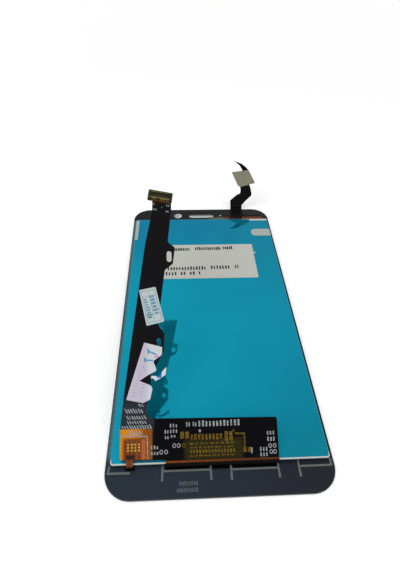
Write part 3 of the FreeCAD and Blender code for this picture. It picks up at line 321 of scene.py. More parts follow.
def grained_finish(name, dark, light, blotch_mm, grain_mm, grain_depth, roughness,
                   metallic=0.0, specular=0.5):
    """Two tones in blotches, a roughness that varies with them, and a fine grain."""
    made, tree, shader = new_finish(name, roughness[0], metallic, specular)
    place = place_in_mm(tree)
    blotches = noise(tree, place, blotch_mm, 3)
    tone = blend_colours(tree, spread(tree, blotches, 0, 1), dark, light)
    paint(tree, shader, tone, spread(tree, blotches, roughness[0], roughness[1]))
    relief(tree, shader, noise(tree, place, grain_mm, 2), grain_depth)
    return made


def dress(names, finish):
    """Gives CAD nodes a finish in their own slots."""
    for name in names:
        for material_slot in nodes[name].material_slots:
            material_slot.material = finish
        print(name, "gets", finish.name)


# %% [markdown]
# ## The hidden layers
#
# Under the blue film lie the sheets that make the picture. From behind none of them shows, but from
# the front the eye goes through the glass, the touch sensor and the glue to a dark polariser, which
# is why a display that is off looks black. The clear layers are see-through, and the rest of them
# get what such sheets have: fine ridges on the backlight's sheets, yellow phosphor on the lamps.

# %% Clear layers
def clear_finish(name, tint, see_through, roughness, grain_mm, grain_depth):
    """A clear layer, thin enough that it needs no refraction of its own."""
    made, tree, shader = new_finish(name, roughness, 0.0, 0.3)
    place = place_in_mm(tree)
    wave = noise(tree, place, grain_mm, 2)
    tone = blend_colours(tree, wave, tint, tuple(0.9 * part for part in tint[:3]) + (1,))
    paint(tree, shader, tone, spread(tree, wave, roughness, roughness + 0.05))
    shader.inputs["Alpha"].default_value = see_through
    relief(tree, shader, wave, grain_depth)
    return made


sensor_film_finish = clear_finish("sensor_film_finish", colour(62, 68, 74), 0.05, 0.12, 6, 0.002)
adhesive_finish = clear_finish("adhesive_finish", colour(226, 230, 230), 0.06, 0.20, 3, 0.002)
dress(["touch_sensor_film"], sensor_film_finish)
dress(["optical_adhesive"], adhesive_finish)

# %% Glass
GLASS_HALF_WIDTH = 34.0
GLASS_HALF_LENGTH = 69.7
GLASS_CORNER = 8.0
INK_INSET = 0.15


def beyond_print(tree, place):
    """A factor of 1 in the glass's bare edge, outside the printed border."""
    split = split_place(tree, place)
    parts = []
    for axis, half in (("X", GLASS_HALF_WIDTH), ("Y", GLASS_HALF_LENGTH)):
        size = combine(tree, "ABSOLUTE", split.outputs[axis], 0)
        over = combine(tree, "SUBTRACT", size, half - GLASS_CORNER)
        over = combine(tree, "MAXIMUM", over, 0)
        parts.append(combine(tree, "MULTIPLY", over, over))
    from_corner = combine(tree, "SQRT", combine(tree, "ADD", *parts), 0)
    edge = GLASS_CORNER - INK_INSET
    return spread(tree, from_corner, 0, 1, edge - 0.15, edge - 0.05)


def glass_finish(name, tint, smudge_mm):
    """Clear glass with the faintest smudges, and a bare edge painted dark grey as a reflection of the
    ink.
    """
    made, tree, shader = new_finish(name, 0.02, 0.0, 0.5)
    place = place_in_mm(tree)
    smudge = noise(tree, place, smudge_mm, 4)
    tone = blend_colours(tree, smudge, tint, (1, 1, 1, 1))
    # The bare edge outside the print is painted dark grey: painted reflection of the black ink inside the
    # glass.
    tone = blend_colours(tree, beyond_print(tree, place), tone, colour(46, 56, 58))
    paint(tree, shader, tone, spread(tree, smudge, 0.01, 0.06))
    shader.inputs["Transmission Weight"].default_value = 1
    shader.inputs["IOR"].default_value = 1.5
    relief(tree, shader, smudge, 0.0005)
    return made


dress(["cover_glass"], glass_finish("cover_glass_finish", colour(232, 244, 240), 14))
dress(["colour_filter_glass", "array_glass"], glass_finish("cell_glass_finish", colour(214, 232, 226), 9))

# %% Polarisers, chip, reflector and tape
polariser_finish = grained_finish(
    "polariser_finish", colour(12, 13, 16), colour(18, 19, 23), 9, 0.4, 0.001, (0.18, 0.26), specular=0.4)
dress(["front_polariser", "rear_polariser"], polariser_finish)
chip_finish = grained_finish(
    "chip_finish", colour(36, 37, 44), colour(58, 60, 68), 0.6, 0.08, 0.002, (0.15, 0.3), specular=0.6)
dress(["driver_chip"], chip_finish)
reflector_finish = grained_finish(
    "reflector_finish", colour(205, 207, 210), colour(232, 233, 235), 5, 0.2, 0.003, (0.22, 0.34), 0.5)
dress(["reflector_sheet"], reflector_finish)
tape_finish = grained_finish(
    "tape_finish", colour(20, 20, 21), colour(34, 34, 35), 1.2, 0.1, 0.004, (0.6, 0.8), specular=0.3)
dress(["rim_tape"], tape_finish)

# %% Backlight sheets and lamps
sheet_finish, tree, shader = new_finish("optical_sheet_finish", 0.3)
place = place_in_mm(tree)
milky = noise(tree, place, 4, 2)
sheet_tone = blend_colours(tree, milky, colour(226, 228, 228), colour(240, 241, 240))
paint(tree, shader, sheet_tone, spread(tree, milky, 0.22, 0.4))
relief(tree, shader, stripes(tree, place, 0.05), 0.01)
dress(["upper_prism_sheet", "lower_prism_sheet", "diffuser_sheet", "light_guide"], sheet_finish)

lamp_finish, tree, shader, place, split = zoned_finish("lamp_finish", 0.4, 0.0, 0.5)
phosphor = spread(tree, split.outputs["Y"], 0, 1, -57.7, -57.6)
speckle = noise(tree, place, 0.12, 3)
yellow = blend_colours(tree, speckle, colour(214, 186, 60), colour(240, 220, 110))
paint(tree, shader, blend_colours(tree, phosphor, colour(232, 232, 226), yellow),
      spread(tree, speckle, 0.3, 0.55))
relief(tree, shader, speckle, 0.004)
dress(["backlight_leds"], lamp_finish)

# %% [markdown]
# ## The printed border
#
# The black frame round the picture is ink on the back of the glass. It isn't quite black: below the
# picture it shows as slate, because it reflects the brighter side of the room, and at the upper end
# it is nearly neutral. One blend along the length does that, and a fine speckle stands for the ink.
# Beside the film's left edge the ink mirrors the blue, and under the fold it lies in the shade.

# %% Printed border
border_finish, tree, shader, place, split = zoned_finish("border_ink_finish", 0.25, 0.0, 0.06)
speckle = noise(tree, place, 0.25, 3)
# Across the width the tone shifts as well, which is painted reflection too.
across = spread(tree, split.outputs["X"], 0, 1, -20, 34)
upper_ink = blend_colours(tree, across, colour(18, 18, 20), colour(32, 32, 29))
lower_ink = blend_colours(tree, across, colour(39, 48, 60), colour(33, 35, 44))
along = spread(tree, split.outputs["Y"], 0, 1, -30, 50)
ink = blend_colours(tree, along, lower_ink, upper_ink)
left_edge = zone(tree, split, "X", -40, -32.1, 0.2)
left_edge = combine(tree, "MULTIPLY", left_edge, zone(tree, split, "Y", -58, 60, 2))
edge_ink = blend_colours(tree, spread(tree, split.outputs["X"], 0, 1, -33.7, -32.5),
                         colour(74, 98, 104), colour(78, 156, 174))
ink = blend_colours(tree, left_edge, ink, edge_ink)
under_fold = patch(tree, split, -16.5, -61.9, 17.2, -59.5, 0.2)
under_foot = patch(tree, split, -28.2, -61.6, -25.2, -60.0, 0.3)
shade = combine(tree, "MAXIMUM", under_fold, under_foot)
ink = blend_colours(tree, combine(tree, "MULTIPLY", speckle, 0.12), ink, colour(70, 74, 80))
paint(tree, shader, blend_colours(tree, shade, ink, colour(5, 5, 6)),
      spread(tree, noise(tree, place, 7, 3), 0.22, 0.36))
relief(tree, shader, speckle, 0.0015)
dress(["printed_border"], border_finish)

# %% [markdown]
# ## The blue film
#
# The film is a thin, clear, blue plastic over a silvery sheet, and it mirrors the circuits that
# stand above it. A mirror alone would show them as black holes, and paint alone wouldn't show them.
# So one shader is partly metallic: the metallic share carries the reflection, and the rest is a
# blue that stays where the reflection is black. Two noises, one wide and one narrow, are the
# slight waviness of a film that was rolled on by hand.

# %% Blue film
blue_finish, tree, shader, place, split = zoned_finish("blue_film_finish", 0.06, 0.60, 0.03)
# The blue is painted lighter at the lower left and darker towards the top and the right: painted
# reflection of the room's uneven brightness.
across = spread(tree, split.outputs["X"], 0, 1, -22, 34)
lower_half = spread(tree, split.outputs["Y"], 0, 1, -60, -10)
upper_half = spread(tree, split.outputs["Y"], 0, 1, 0, 56)
left_blue = blend_colours(tree, lower_half, colour(17, 153, 180), colour(15, 149, 176))
left_blue = blend_colours(tree, upper_half, left_blue, colour(5, 121, 158))
right_blue = blend_colours(tree, lower_half, colour(15, 122, 145), colour(18, 137, 165))
right_blue = blend_colours(tree, upper_half, right_blue, colour(13, 124, 152))
film_blue = blend_colours(tree, across, left_blue, right_blue)
cloud = noise(tree, place, 16, 3)
paler = blend_colours(tree, spread(tree, cloud, 0, 0.1), film_blue, colour(16, 172, 200))
paint(tree, shader, paler, spread(tree, noise(tree, place, 5, 3), 0.03, 0.09))
wide_wave = noise(tree, place, 11, 1)
narrow_wave = combine(tree, "MULTIPLY", noise(tree, place, 1.1, 2), 0.06)
relief(tree, shader, combine(tree, "ADD", wide_wave, narrow_wave), 0.012)
dress(["protective_film"], blue_finish)

# %% [markdown]
# ## Paper, plastic and metal
#
# The labels are satin paper with fibres. The backlight frame is white moulded plastic, which shows
# white on its lower wall and in the film's notch, and teal where it mirrors the film beside it. The
# stiffener is glass cloth in resin, whose weave shows faintly. Gold and solder are metals: their
# colour is the tint of their reflection, and solder is brighter than the gold pads.

# %% Labels
def paper_finish(name, dark, light):
    """Satin label stock with short fibres."""
    made, tree, shader = new_finish(name, 0.5, 0.0, 0.3)
    place = place_in_mm(tree, stretch=(1, 0.4, 1))
    fibres = noise(tree, place, 0.22, 4)
    cloudy = noise(tree, place, 5, 2)
    tone = blend_colours(tree, combine(tree, "MULTIPLY", fibres, cloudy), dark, light)
    paint(tree, shader, tone, spread(tree, fibres, 0.42, 0.6))
    relief(tree, shader, fibres, 0.006)
    return made


rear_label_finish = paper_finish("rear_label_finish", colour(191, 193, 185), colour(204, 206, 198))
dress(["rear_label"], rear_label_finish)
strip_finish = paper_finish("tape_strip_finish", colour(168, 174, 168), colour(184, 189, 182))
dress(["side_tape", "pull_tab"], strip_finish)
arm_label_finish = paper_finish("arm_label_finish", colour(178, 190, 192), colour(206, 214, 212))
dress(["arm_label"], arm_label_finish)


def tinted_paper(name, dark, light, tint, zone_of):
    """Label stock with a second tone in one zone."""
    made = paper_finish(name, dark, light)
    tree = made.node_tree
    shader = tree.nodes["Principled BSDF"]
    paper = shader.inputs["Base Color"].links[0].from_socket
    split = split_place(tree, place_in_mm(tree))
    tree.links.new(blend_colours(tree, zone_of(tree, split), paper, tint), shader.inputs["Base Color"])
    return made


scrap_finish = tinted_paper(
    "scrap_finish", colour(206, 212, 222), colour(226, 230, 238), colour(26, 104, 176),
    lambda tree, split: patch(tree, split, -18.7, -39.5, -17.2, -37.8, 0.25))
dress(["underside_label"], scrap_finish)
torn_label_finish = tinted_paper(
    "torn_label_finish", colour(186, 180, 196), colour(206, 200, 212), colour(204, 214, 216),
    lambda tree, split: spread(tree, split.outputs["X"], 0, 0.7, -22.5, -20.5))
dress(["torn_label"], torn_label_finish)

# %% Backlight frame
frame_finish, tree, shader, place, split = zoned_finish("backlight_frame_finish", 0.4, 0.0, 0.2)
grain = noise(tree, place, 0.15, 3)
white = blend_colours(tree, grain, colour(196, 196, 186), colour(214, 214, 206))
shaded = blend_colours(tree, grain, colour(54, 138, 158), colour(66, 150, 168))
lower_wall = spread(tree, split.outputs["Y"], 1, 0, -59.2, -58.4)
notch = patch(tree, split, 20, 56.9, 34, 60, 0.1)
bright = combine(tree, "MAXIMUM", lower_wall, notch)
# Only the top rim is white; lower down the wall shows the teal, a painted reflection of the film.
top_face = spread(tree, split.outputs["Z"], 0.12, 1, 2.2, 2.45)
bright = combine(tree, "MULTIPLY", bright, top_face)
# The wall's foot is painted nearly black: painted shade at the module's lower edge.
foot = spread(tree, split.outputs["Z"], 1, 0, 1.9, 2.2)
foot = combine(tree, "MULTIPLY", foot, lower_wall)
lit = blend_colours(tree, bright, shaded, white)
paint(tree, shader, blend_colours(tree, foot, lit, colour(24, 30, 36)), spread(tree, grain, 0.35, 0.5))
relief(tree, shader, grain, 0.004)
dress(["backlight_frame"], frame_finish)

# %% Connector housings
socket_finish, tree, shader, place, split = zoned_finish("connector_body_finish", 0.5, 0.0, 0.1)
mottle = spread(tree, noise(tree, place, 0.5, 3), 0, 1, 0.35, 0.65)
moulding = blend_colours(tree, mottle, colour(30, 32, 24), colour(56, 52, 38))
green_wall = blend_colours(tree, mottle, colour(30, 44, 20), colour(92, 104, 54))
moulding = blend_colours(tree, spread(tree, split.outputs["Y"], 0, 1, 22.85, 23.0), moulding, green_wall)
lower_wall = blend_colours(tree, spread(tree, noise(tree, place, 0.9, 3), 0, 1, 0.42, 0.58),
                           colour(28, 26, 12), colour(118, 106, 62))
moulding = blend_colours(tree, spread(tree, split.outputs["Y"], 1, 0, 20.9, 21.1), moulding, lower_wall)
end_block = spread(tree, split.outputs["X"], 0, 1, -14.9, -14.6)
moulding = blend_colours(tree, end_block, moulding, colour(44, 42, 46))
paint(tree, shader, moulding, spread(tree, mottle, 0.4, 0.6))
relief(tree, shader, noise(tree, place, 0.06, 2), 0.003)
dress(["connector_body"], socket_finish)
plug_finish = grained_finish(
    "touch_connector_finish", colour(30, 30, 30), colour(44, 44, 43), 0.5, 0.06, 0.003, (0.4, 0.6),
    specular=0.4)
dress(["touch_connector"], plug_finish)

# %% Gold pads and solder
gold_finish = grained_finish(
    "gold_finish", colour(58, 44, 6), colour(128, 100, 22), 0.5, 0.05, 0.004, (0.22, 0.42), 0.85)
dress(["test_pads"], gold_finish)
solder_finish = grained_finish(
    "solder_finish", colour(176, 128, 20), colour(244, 214, 96), 0.35, 0.08, 0.012, (0.2, 0.45), 0.9)
dress(["solder_joints"], solder_finish)

# %% Gold of the connector
contact_finish, tree, shader, place, split = zoned_finish("contact_finish", 0.35, 0.8, 0.3)
speckle = noise(tree, place, 0.25, 3)
upper_gold = blend_colours(tree, speckle, colour(62, 78, 40), colour(128, 140, 84))
lower_gold = blend_colours(tree, speckle, colour(96, 88, 36), colour(178, 170, 108))
height_over_slope = combine(tree, "ADD", split.outputs["Y"],
                            combine(tree, "MULTIPLY", split.outputs["X"], 0.03))
upper_row = spread(tree, height_over_slope, 0, 1, 21.3, 21.6)
paint(tree, shader, blend_colours(tree, upper_row, lower_gold, upper_gold),
      spread(tree, speckle, 0.28, 0.45))
relief(tree, shader, speckle, 0.003)
dress(["connector_contacts"], contact_finish)

# %% Stiffener
stiffener_finish, tree, shader = new_finish("stiffener_finish", 0.5, 0.0, 0.35)
place = place_in_mm(tree)
warp = stripes(tree, place, 0.45, "X")
weft = stripes(tree, place, 0.45, "Z")
weave = combine(tree, "MULTIPLY", warp, weft)
cloudy = noise(tree, place, 3, 3)
resin = blend_colours(tree, cloudy, colour(116, 110, 92), colour(150, 143, 124))
resin = blend_colours(tree, spread(tree, weave, 0, 0.25, 0, 1), resin, colour(186, 180, 160))
paint(tree, shader, resin, spread(tree, cloudy, 0.4, 0.6))
relief(tree, shader, weave, 0.01)
dress(["touch_stiffener"], stiffener_finish)

# %% [markdown]
# ## Flexible circuits
#
# A flexible circuit is copper between two plastic films. The main one has a black cover film, which
# hides the copper but keeps its faint ridges. At the fold the cover is left off, so that the film
# bends easily, and the bare film is amber. The touch circuit is black too, but its bonded bar is
# tan at one end and copper brown at the other, with a dark part between. The lamps' circuit and the
# plate behind the connector are bare amber film, through which the copper paths shine. Masks along
# the object's own axes place these zones.

# %% Cover film
def cover_film(tree, shader, place, speckle, tone):
    """A satin film of that tone, with the faint ridges of the copper under it."""
    paint(tree, shader, tone, spread(tree, noise(tree, place, 4, 3), 0.32, 0.5))
    grain = combine(tree, "MULTIPLY", speckle, 0.3)
    relief(tree, shader, combine(tree, "ADD", stripes(tree, place, 0.5), grain), 0.006)


# %% Main circuit
main_finish, tree, shader, place, split = zoned_finish("main_circuit_finish", 0.42, 0.0, 0.05)
speckle = noise(tree, place, 0.3, 3)
cover = blend_colours(tree, speckle, colour(11, 10, 12), colour(20, 19, 21))
board_black = blend_colours(tree, speckle, colour(2, 1, 3), colour(8, 7, 10))
cover = blend_colours(tree, patch(tree, split, -19.8, -60.5, 20, -48, 0.8), cover, board_black)
# A painted sheen: low on the arm, where it bends towards the board, the black is painted lighter and
# bluish, as a reflection of the room.
painted_sheen = blend_colours(tree, speckle, colour(36, 38, 46), colour(52, 55, 64))
low_arm = combine(tree, "MULTIPLY", zone(tree, split, "X", -31, -19.5, 0.6),
                  zone(tree, split, "Y", -52.5, -45, 2.5))
cover = blend_colours(tree, low_arm, cover, painted_sheen)

cloudy = noise(tree, place, 0.8, 3)
bright_amber = blend_colours(tree, cloudy, colour(188, 104, 20), colour(226, 146, 26))
dull_amber = blend_colours(tree, cloudy, colour(112, 62, 22), colour(150, 88, 38))
aside = spread(tree, split.outputs["X"], 0, 1, -25.5, -21.5)
amber = blend_colours(tree, aside, bright_amber, dull_amber)
burnt = blend_colours(tree, cloudy, colour(92, 44, 20), colour(136, 70, 34))
amber = blend_colours(tree, patch(tree, split, -28.6, -60.5, -22.4, -54.6, 0.6), amber, burnt)
cover = blend_colours(tree, patch(tree, split, -29.6, -59.6, -20.0, -52.4, 0.2), cover, amber)
olive = blend_colours(tree, cloudy, colour(26, 24, 12), colour(54, 48, 22))
cover = blend_colours(tree, patch(tree, split, -10.6, -60.1, 6.6, -55.2, 0.7), cover, olive)
head_green = blend_colours(tree, speckle, colour(40, 48, 28), colour(84, 86, 46))
cover = blend_colours(tree, patch(tree, split, -23.5, 20.9, -12.0, 26.0, 0.3), cover, head_green)
rust = blend_colours(tree, speckle, colour(40, 18, 6), colour(78, 40, 14))
cover = blend_colours(tree, patch(tree, split, -23.5, 19.7, -12.0, 20.7, 0.15), cover, rust)

# %% The fold's bare film
left_bare = blend_colours(tree, cloudy, colour(88, 44, 14), colour(140, 74, 28))
right_bare = blend_colours(tree, cloudy, colour(66, 36, 20), colour(104, 58, 36))
bare = blend_colours(tree, spread(tree, split.outputs["X"], 0, 1, -14, 14), left_bare, right_bare)
folded = spread(tree, split.outputs["Y"], 1, 0, -60.2, -60.0)
# The fold's lower half is painted nearly black: painted shade where it turns away from the light.
shaded = spread(tree, split.outputs["Z"], 0, 1, 2.92, 3.08)
bare = blend_colours(tree, shaded, colour(10, 8, 8), bare)
cover_film(tree, shader, place, speckle, blend_colours(tree, folded, cover, bare))
dress(["main_flex"], main_finish)

# %% Touch circuit
touch_finish, tree, shader, place, split = zoned_finish("touch_circuit_finish", 0.42, 0.0, 0.05)
speckle = noise(tree, place, 0.3, 3)
cover = blend_colours(tree, speckle, colour(10, 9, 12), colour(18, 17, 20))
flat = spread(tree, split.outputs["Z"], 1, 0, 1.15, 1.4)
bar = combine(tree, "MULTIPLY", flat, zone(tree, split, "Y", 59, 62.6, 0.1))
copper = blend_colours(tree, noise(tree, place, 1.2, 3), colour(88, 46, 28), colour(122, 72, 44))
tan = blend_colours(tree, speckle, colour(84, 76, 64), colour(106, 97, 82))
bar_tone = blend_colours(tree, zone(tree, split, "X", 3, 11.7, 0.2), copper, tan)
bar_tone = blend_colours(tree, zone(tree, split, "X", 14.2, 20.8, 0.3), bar_tone, colour(46, 18, 10))
cover_film(tree, shader, place, speckle, blend_colours(tree, bar, cover, bar_tone))
dress(["touch_flex"], touch_finish)

# %% Plate behind the connector
plate_finish, tree, shader = new_finish("head_plate_finish", 0.25, 0.0, 0.4)
place = place_in_mm(tree)
paths = stripes(tree, place, 0.9, "X")
cloudy = noise(tree, place, 0.9, 3)
shining = spread(tree, combine(tree, "MULTIPLY", paths, cloudy), 0, 1, 0.1, 0.5)
tone = blend_colours(tree, shining, colour(58, 60, 28), colour(118, 106, 44))
paint(tree, shader, tone, spread(tree, cloudy, 0.16, 0.34))
relief(tree, shader, paths, 0.01)
dress(["connector_stiffener"], plate_finish)

# %% Lamp circuit
lamp_circuit_finish, tree, shader, place, split = zoned_finish("lamp_circuit_finish", 0.3, 0.0, 0.15)
paths = stripes(tree, place, 1.4, "X")
cloudy = noise(tree, place, 0.9, 3)
burnt = blend_colours(tree, cloudy, colour(86, 38, 16), colour(128, 64, 28))
copper = blend_colours(tree, cloudy, colour(112, 54, 24), colour(156, 84, 40))
film = blend_colours(tree, combine(tree, "MULTIPLY", paths, 0.5), burnt, copper)
aside = spread(tree, split.outputs["X"], 0, 1, -23.6, -22.6)
film = blend_colours(tree, aside, film, colour(172, 92, 46))
in_shade = patch(tree, split, -29, -59.6, -25, -58.4, 0.5)
film = blend_colours(tree, in_shade, film, colour(34, 15, 8))
# Below the fold the circuit's lower end is painted nearly black: painted shade.
painted_shade_below_fold = spread(tree, split.outputs["Z"], 1, 0, 2.6, 2.9)
film = blend_colours(tree, painted_shade_below_fold, film, colour(16, 10, 8))
paint(tree, shader, film, spread(tree, cloudy, 0.22, 0.4))
relief(tree, shader, paths, 0.008)
dress(["backlight_flex"], lamp_circuit_finish)

# %% [markdown]
# ## Printed marks on the bent circuits
#
# The white print on the circuits is a few hundredths of a millimetre thick and follows a surface
# that leans, bends and twists. Measuring that surface again would be a second source of truth. So
# each mark is a flat grid in plan, dropped on the CAD node's mesh by a ray, and then extruded up.
# What the print says isn't copied: rows of plain bars and rings stand in its places.

# %% Helpers for prints
PRINT_SUNK = 0.01 * MM
PRINT_THICK = 0.03 * MM
PRINT_CELL = 3.0
RAY_START = 0.2


def surface_of(*names):
    """A search tree of the triangles of one or more CAD nodes."""
    corners = []
    triangles = []
    for name in names:
        mesh = nodes[name].data
        first = len(corners)
        corners.extend(vertex.co.copy() for vertex in mesh.vertices)
        triangles.extend([first + i for i in face.vertices] for face in mesh.polygons)
    return BVHTree.FromPolygons(corners, triangles)


def drop_on(surface, points):
    """Moves points down, or up, to the surface's upper side."""
    for point in points:
        hit = surface.ray_cast(Vector((point.co.x, point.co.y, RAY_START)), Vector((0, 0, -1)))[0]
        if hit is None:
            raise ValueError(f"no surface under {point.co.x / MM:.2f}, {point.co.y / MM:.2f}")
        point.co.z = hit.z - PRINT_SUNK


def thicken(form, faces, thick=PRINT_THICK):
    """Turns faces into a thin closed plate."""
    grown = bmesh.ops.extrude_face_region(form, geom=faces, use_keep_orig=True)["geom"]
    raised = [item for item in grown if isinstance(item, bmesh.types.BMVert)]
    bmesh.ops.translate(form, vec=(0, 0, thick), verts=raised)


def print_field(form, surface, left, lower, right, upper, turn=0.0, lean=0.0):
    """A printed rectangle, given by two corners in plan, in millimetres. It may lean or turn."""
    columns = max(1, math.ceil((right - left) / PRINT_CELL))
    rows = max(1, math.ceil((upper - lower) / PRINT_CELL))
    grid = bmesh.ops.create_grid(form, x_segments=columns, y_segments=rows, size=0.5)["verts"]
    bmesh.ops.scale(form, vec=((right - left) * MM, (upper - lower) * MM, 1), verts=grid)
    bmesh.ops.transform(form, matrix=Matrix.Shear("XZ", 3, (lean, 0)).to_4x4(), verts=grid)
    bmesh.ops.rotate(form, cent=(0, 0, 0), matrix=Matrix.Rotation(turn, 3, "Z"), verts=grid)
    middle = ((left + right) / 2 * MM, (lower + upper) / 2 * MM, 0)
    bmesh.ops.translate(form, vec=middle, verts=grid)
    drop_on(surface, grid)
    thicken(form, list({face for point in grid for face in point.link_faces}))


def print_line(form, surface, start, end, width):
    """A printed line between two places in plan, in millimetres."""
    run = Vector(end) - Vector(start)
    middle = (Vector(end) + Vector(start)) / 2
    half = run.length / 2
    print_field(form, surface, middle.x - half, middle.y - width / 2,
                middle.x + half, middle.y + width / 2, math.atan2(run.y, run.x))


def print_ring(form, surface, middle, outer, inner, segments=16):
    """A printed ring: a disc whose inset middle is taken out."""
    disc = bmesh.ops.create_circle(form, cap_ends=True, segments=segments, radius=outer * MM)["verts"]
    face = disc[0].link_faces[0]
    bmesh.ops.inset_individual(form, faces=[face], thickness=(outer - inner) * MM)
    bmesh.ops.delete(form, geom=[face], context="FACES_ONLY")
    band = list({near for point in disc for near in point.link_faces})
    points = list({point for near in band for point in near.verts})
    bmesh.ops.translate(form, vec=(middle[0] * MM, middle[1] * MM, 0), verts=points)
    drop_on(surface, points)
    thicken(form, band)


def print_row(form, surface, left, lower, right, upper, count, seed, fill=0.68, lean=0.0):
    """A row of short bars, upright or leaning, as small generic marks."""
    draw = random.Random(seed)
    pitch = (right - left) / count
    for index in range(count):
        start = left + index * pitch
        wide = pitch * fill * draw.uniform(0.7, 1.0)
        tall = (upper - lower) * draw.uniform(0.75, 1.0)
        print_field(form, surface, start, lower, start + wide, lower + tall, lean=lean)


def finished_piece(name, form, finish):
    """A mesh object on the frame's only body, with its faces turned outwards."""
    bmesh.ops.recalc_face_normals(form, faces=form.faces[:])
    mesh = bpy.data.meshes.new(name)
    form.to_mesh(mesh)
    form.free()
    mesh.materials.append(finish)
    made = bpy.data.objects.new(name, mesh)
    bpy.context.scene.collection.objects.link(made)
    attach(made, "root")
    print(name, len(mesh.polygons), "faces")


def ink_finish(name, dark, light, roughness=0.5, metallic=0.0):
    """Printed ink: slightly uneven in tone and cover."""
    return grained_finish(name, dark, light, 0.4, 0.08, 0.004, (roughness, roughness + 0.15),
                          metallic, 0.3)


# %% White print on the board
main_surface = surface_of("main_flex")
white_ink = ink_finish("white_ink", colour(108, 114, 114), colour(164, 170, 170))
form = bmesh.new()
WHITE_ROWS = [
    (-24.0, -47.1, -22.3, -46.3, 2), (-27.9, -48.6, -22.5, -47.4, 7), (-27.5, -50.1, -21.6, -49.2, 8),
    (-27.3, -51.2, -21.5, -50.4, 8), (-28.9, -52.4, -20.0, -51.4, 12), (-26.8, -53.8, -22.9, -52.8, 5),
    (-16.4, -53.7, -14.9, -52.8, 2), (-16.3, -55.0, -14.9, -54.1, 2), (-14.8, -52.3, -12.2, -51.4, 3),
    (-14.8, -53.6, -12.2, -52.7, 3), (-14.6, -54.7, -12.8, -54.0, 2), (-10.0, -52.2, -8.6, -51.0, 2),
    (-8.0, -52.2, -6.6, -51.0, 2), (-6.3, -52.3, 6.4, -50.8, 12), (-20.4, -57.3, -17.9, -56.4, 3),
    (-20.4, -58.6, -17.9, -57.7, 3), (14.0, -54.8, 16.6, -53.8, 3), (14.0, -56.3, 16.6, -55.2, 3),
    (11.7, -58.6, 14.3, -57.5, 3), (11.7, -59.8, 14.3, -58.9, 3),
]
LEANING_ROWS = 6
ARM_LEAN = -0.7
PAD_RING = (0.55, 0.32)
FRAME_LINE = 0.28
for seed, (left, lower, right, upper, count) in enumerate(WHITE_ROWS):
    lean = ARM_LEAN if seed < LEANING_ROWS else 0.0
    print_row(form, main_surface, left, lower, right, upper, count, seed, 0.58, lean)
for middle in ((-13.6, -56.6), (-12.3, -56.6), (-17.4, -58.0), (-16.0, -58.0),
               (14.75, -57.4), (16.1, -57.4), (15.0, -58.8), (16.1, -58.8)):
    print_ring(form, main_surface, middle, *PAD_RING)
print_line(form, main_surface, (-29.35, -54.0), (-21.5, -54.2), FRAME_LINE)
print_line(form, main_surface, (-21.5, -54.1), (-21.3, -59.5), FRAME_LINE)
print_ring(form, main_surface, (-6.0, -53.3), 0.35, 0.1)
print_row(form, main_surface, 9.0, -59.0, 9.8, -57.5, 1, 3)
NECK_ROWS = [(-20.4, 18.5, -19.9, 19.3, 1), (-20.3, 16.4, -19.0, 17.2, 2), (-17.4, 17.7, -17.1, 18.0, 1),
             (-15.7, 18.5, -14.5, 19.2, 2), (-15.9, 16.1, -14.7, 16.9, 2)]
for seed, (left, lower, right, upper, count) in enumerate(NECK_ROWS):
    print_row(form, main_surface, left, lower, right, upper, count, seed)
finished_piece("board_print", form, white_ink)

# %% [markdown]
# ## Gold and traces on the board
#
# Between the large test pads lie rows of small dashes, three rings and a bent trace. They are made
# as the white print is, as flat grids, dropped and extruded. Their gold is a little less metallic
# than that of the pads, as thin plating on a film looks.

# %% Small gold on the board
dull_gold = ink_finish("dull_gold", colour(58, 44, 8), colour(124, 98, 24), 0.35, 0.7)
form = bmesh.new()
DASH_ROWS = [
    (-9.0, -56.5, 4.6, -56.1, 9), (-8.8, -57.4, 4.4, -57.0, 11), (-9.0, -59.3, 4.4, -58.9, 10),
]
for seed, (left, lower, right, upper, count) in enumerate(DASH_ROWS):
    print_row(form, main_surface, left, lower, right, upper, count, 40 + seed, 0.8)
print_ring(form, main_surface, (-10.8, -56.6), *PAD_RING)
for middle in ((-6.0, -54.2), (4.0, -53.5)):
    print_ring(form, main_surface, middle, 0.3, 0.12)
TRACE_WIDTH = 0.4
print_line(form, main_surface, (4.4, -54.2), (7.5, -54.3), TRACE_WIDTH)
print_line(form, main_surface, (7.2, -54.2), (7.2, -57.5), TRACE_WIDTH)
finished_piece("board_gold", form, dull_gold)

# %% [markdown]
# ## Lines on the lower border
#
# Below the picture the border carries thin grey lines, which may show the assembler where strips of
# adhesive go: an L at the left, then three pairs of uprights, each pair joined by a level line. They
# lie on the ink, 0.6 mm wide. Two rows of faint marks stand below them.

# %% Border lines
border_surface = surface_of("printed_border")
line_ink = ink_finish("line_ink", colour(88, 94, 92), colour(108, 114, 110), 0.4)
form = bmesh.new()
BORDER_LINES = [
    ((-32.7, -59.9), (-33.1, -62.3)), ((-33.3, -62.1), (-26.6, -62.2)),
    ((-17.2, -60.2), (-17.2, -64.8)), ((-16.9, -62.0), (-3.3, -62.0)),
    ((-3.0, -60.4), (-3.0, -64.9)), ((3.0, -60.4), (3.0, -65.1)),
    ((3.3, -62.2), (16.8, -62.2)), ((17.05, -60.5), (17.05, -65.0)),
    ((23.2, -60.0), (23.2, -65.0)), ((23.5, -62.0), (33.0, -62.0)), ((33.0, -59.8), (33.0, -62.2)),
]
BORDER_LINE_WIDTH = 0.6
for start, end in BORDER_LINES:
    print_line(form, border_surface, start, end, BORDER_LINE_WIDTH)
finished_piece("border_lines", form, line_ink)

# %% [markdown]
# ## The camera window
#
# The photograph shows this clear window a little narrower than the CAD frame has it, with a grey
# ring in it. So a ring of black ink covers its edge, and a second, smaller grey ring is put in that
# place.
# Both are discs with an inset middle taken out, dropped on the ink and the glass.

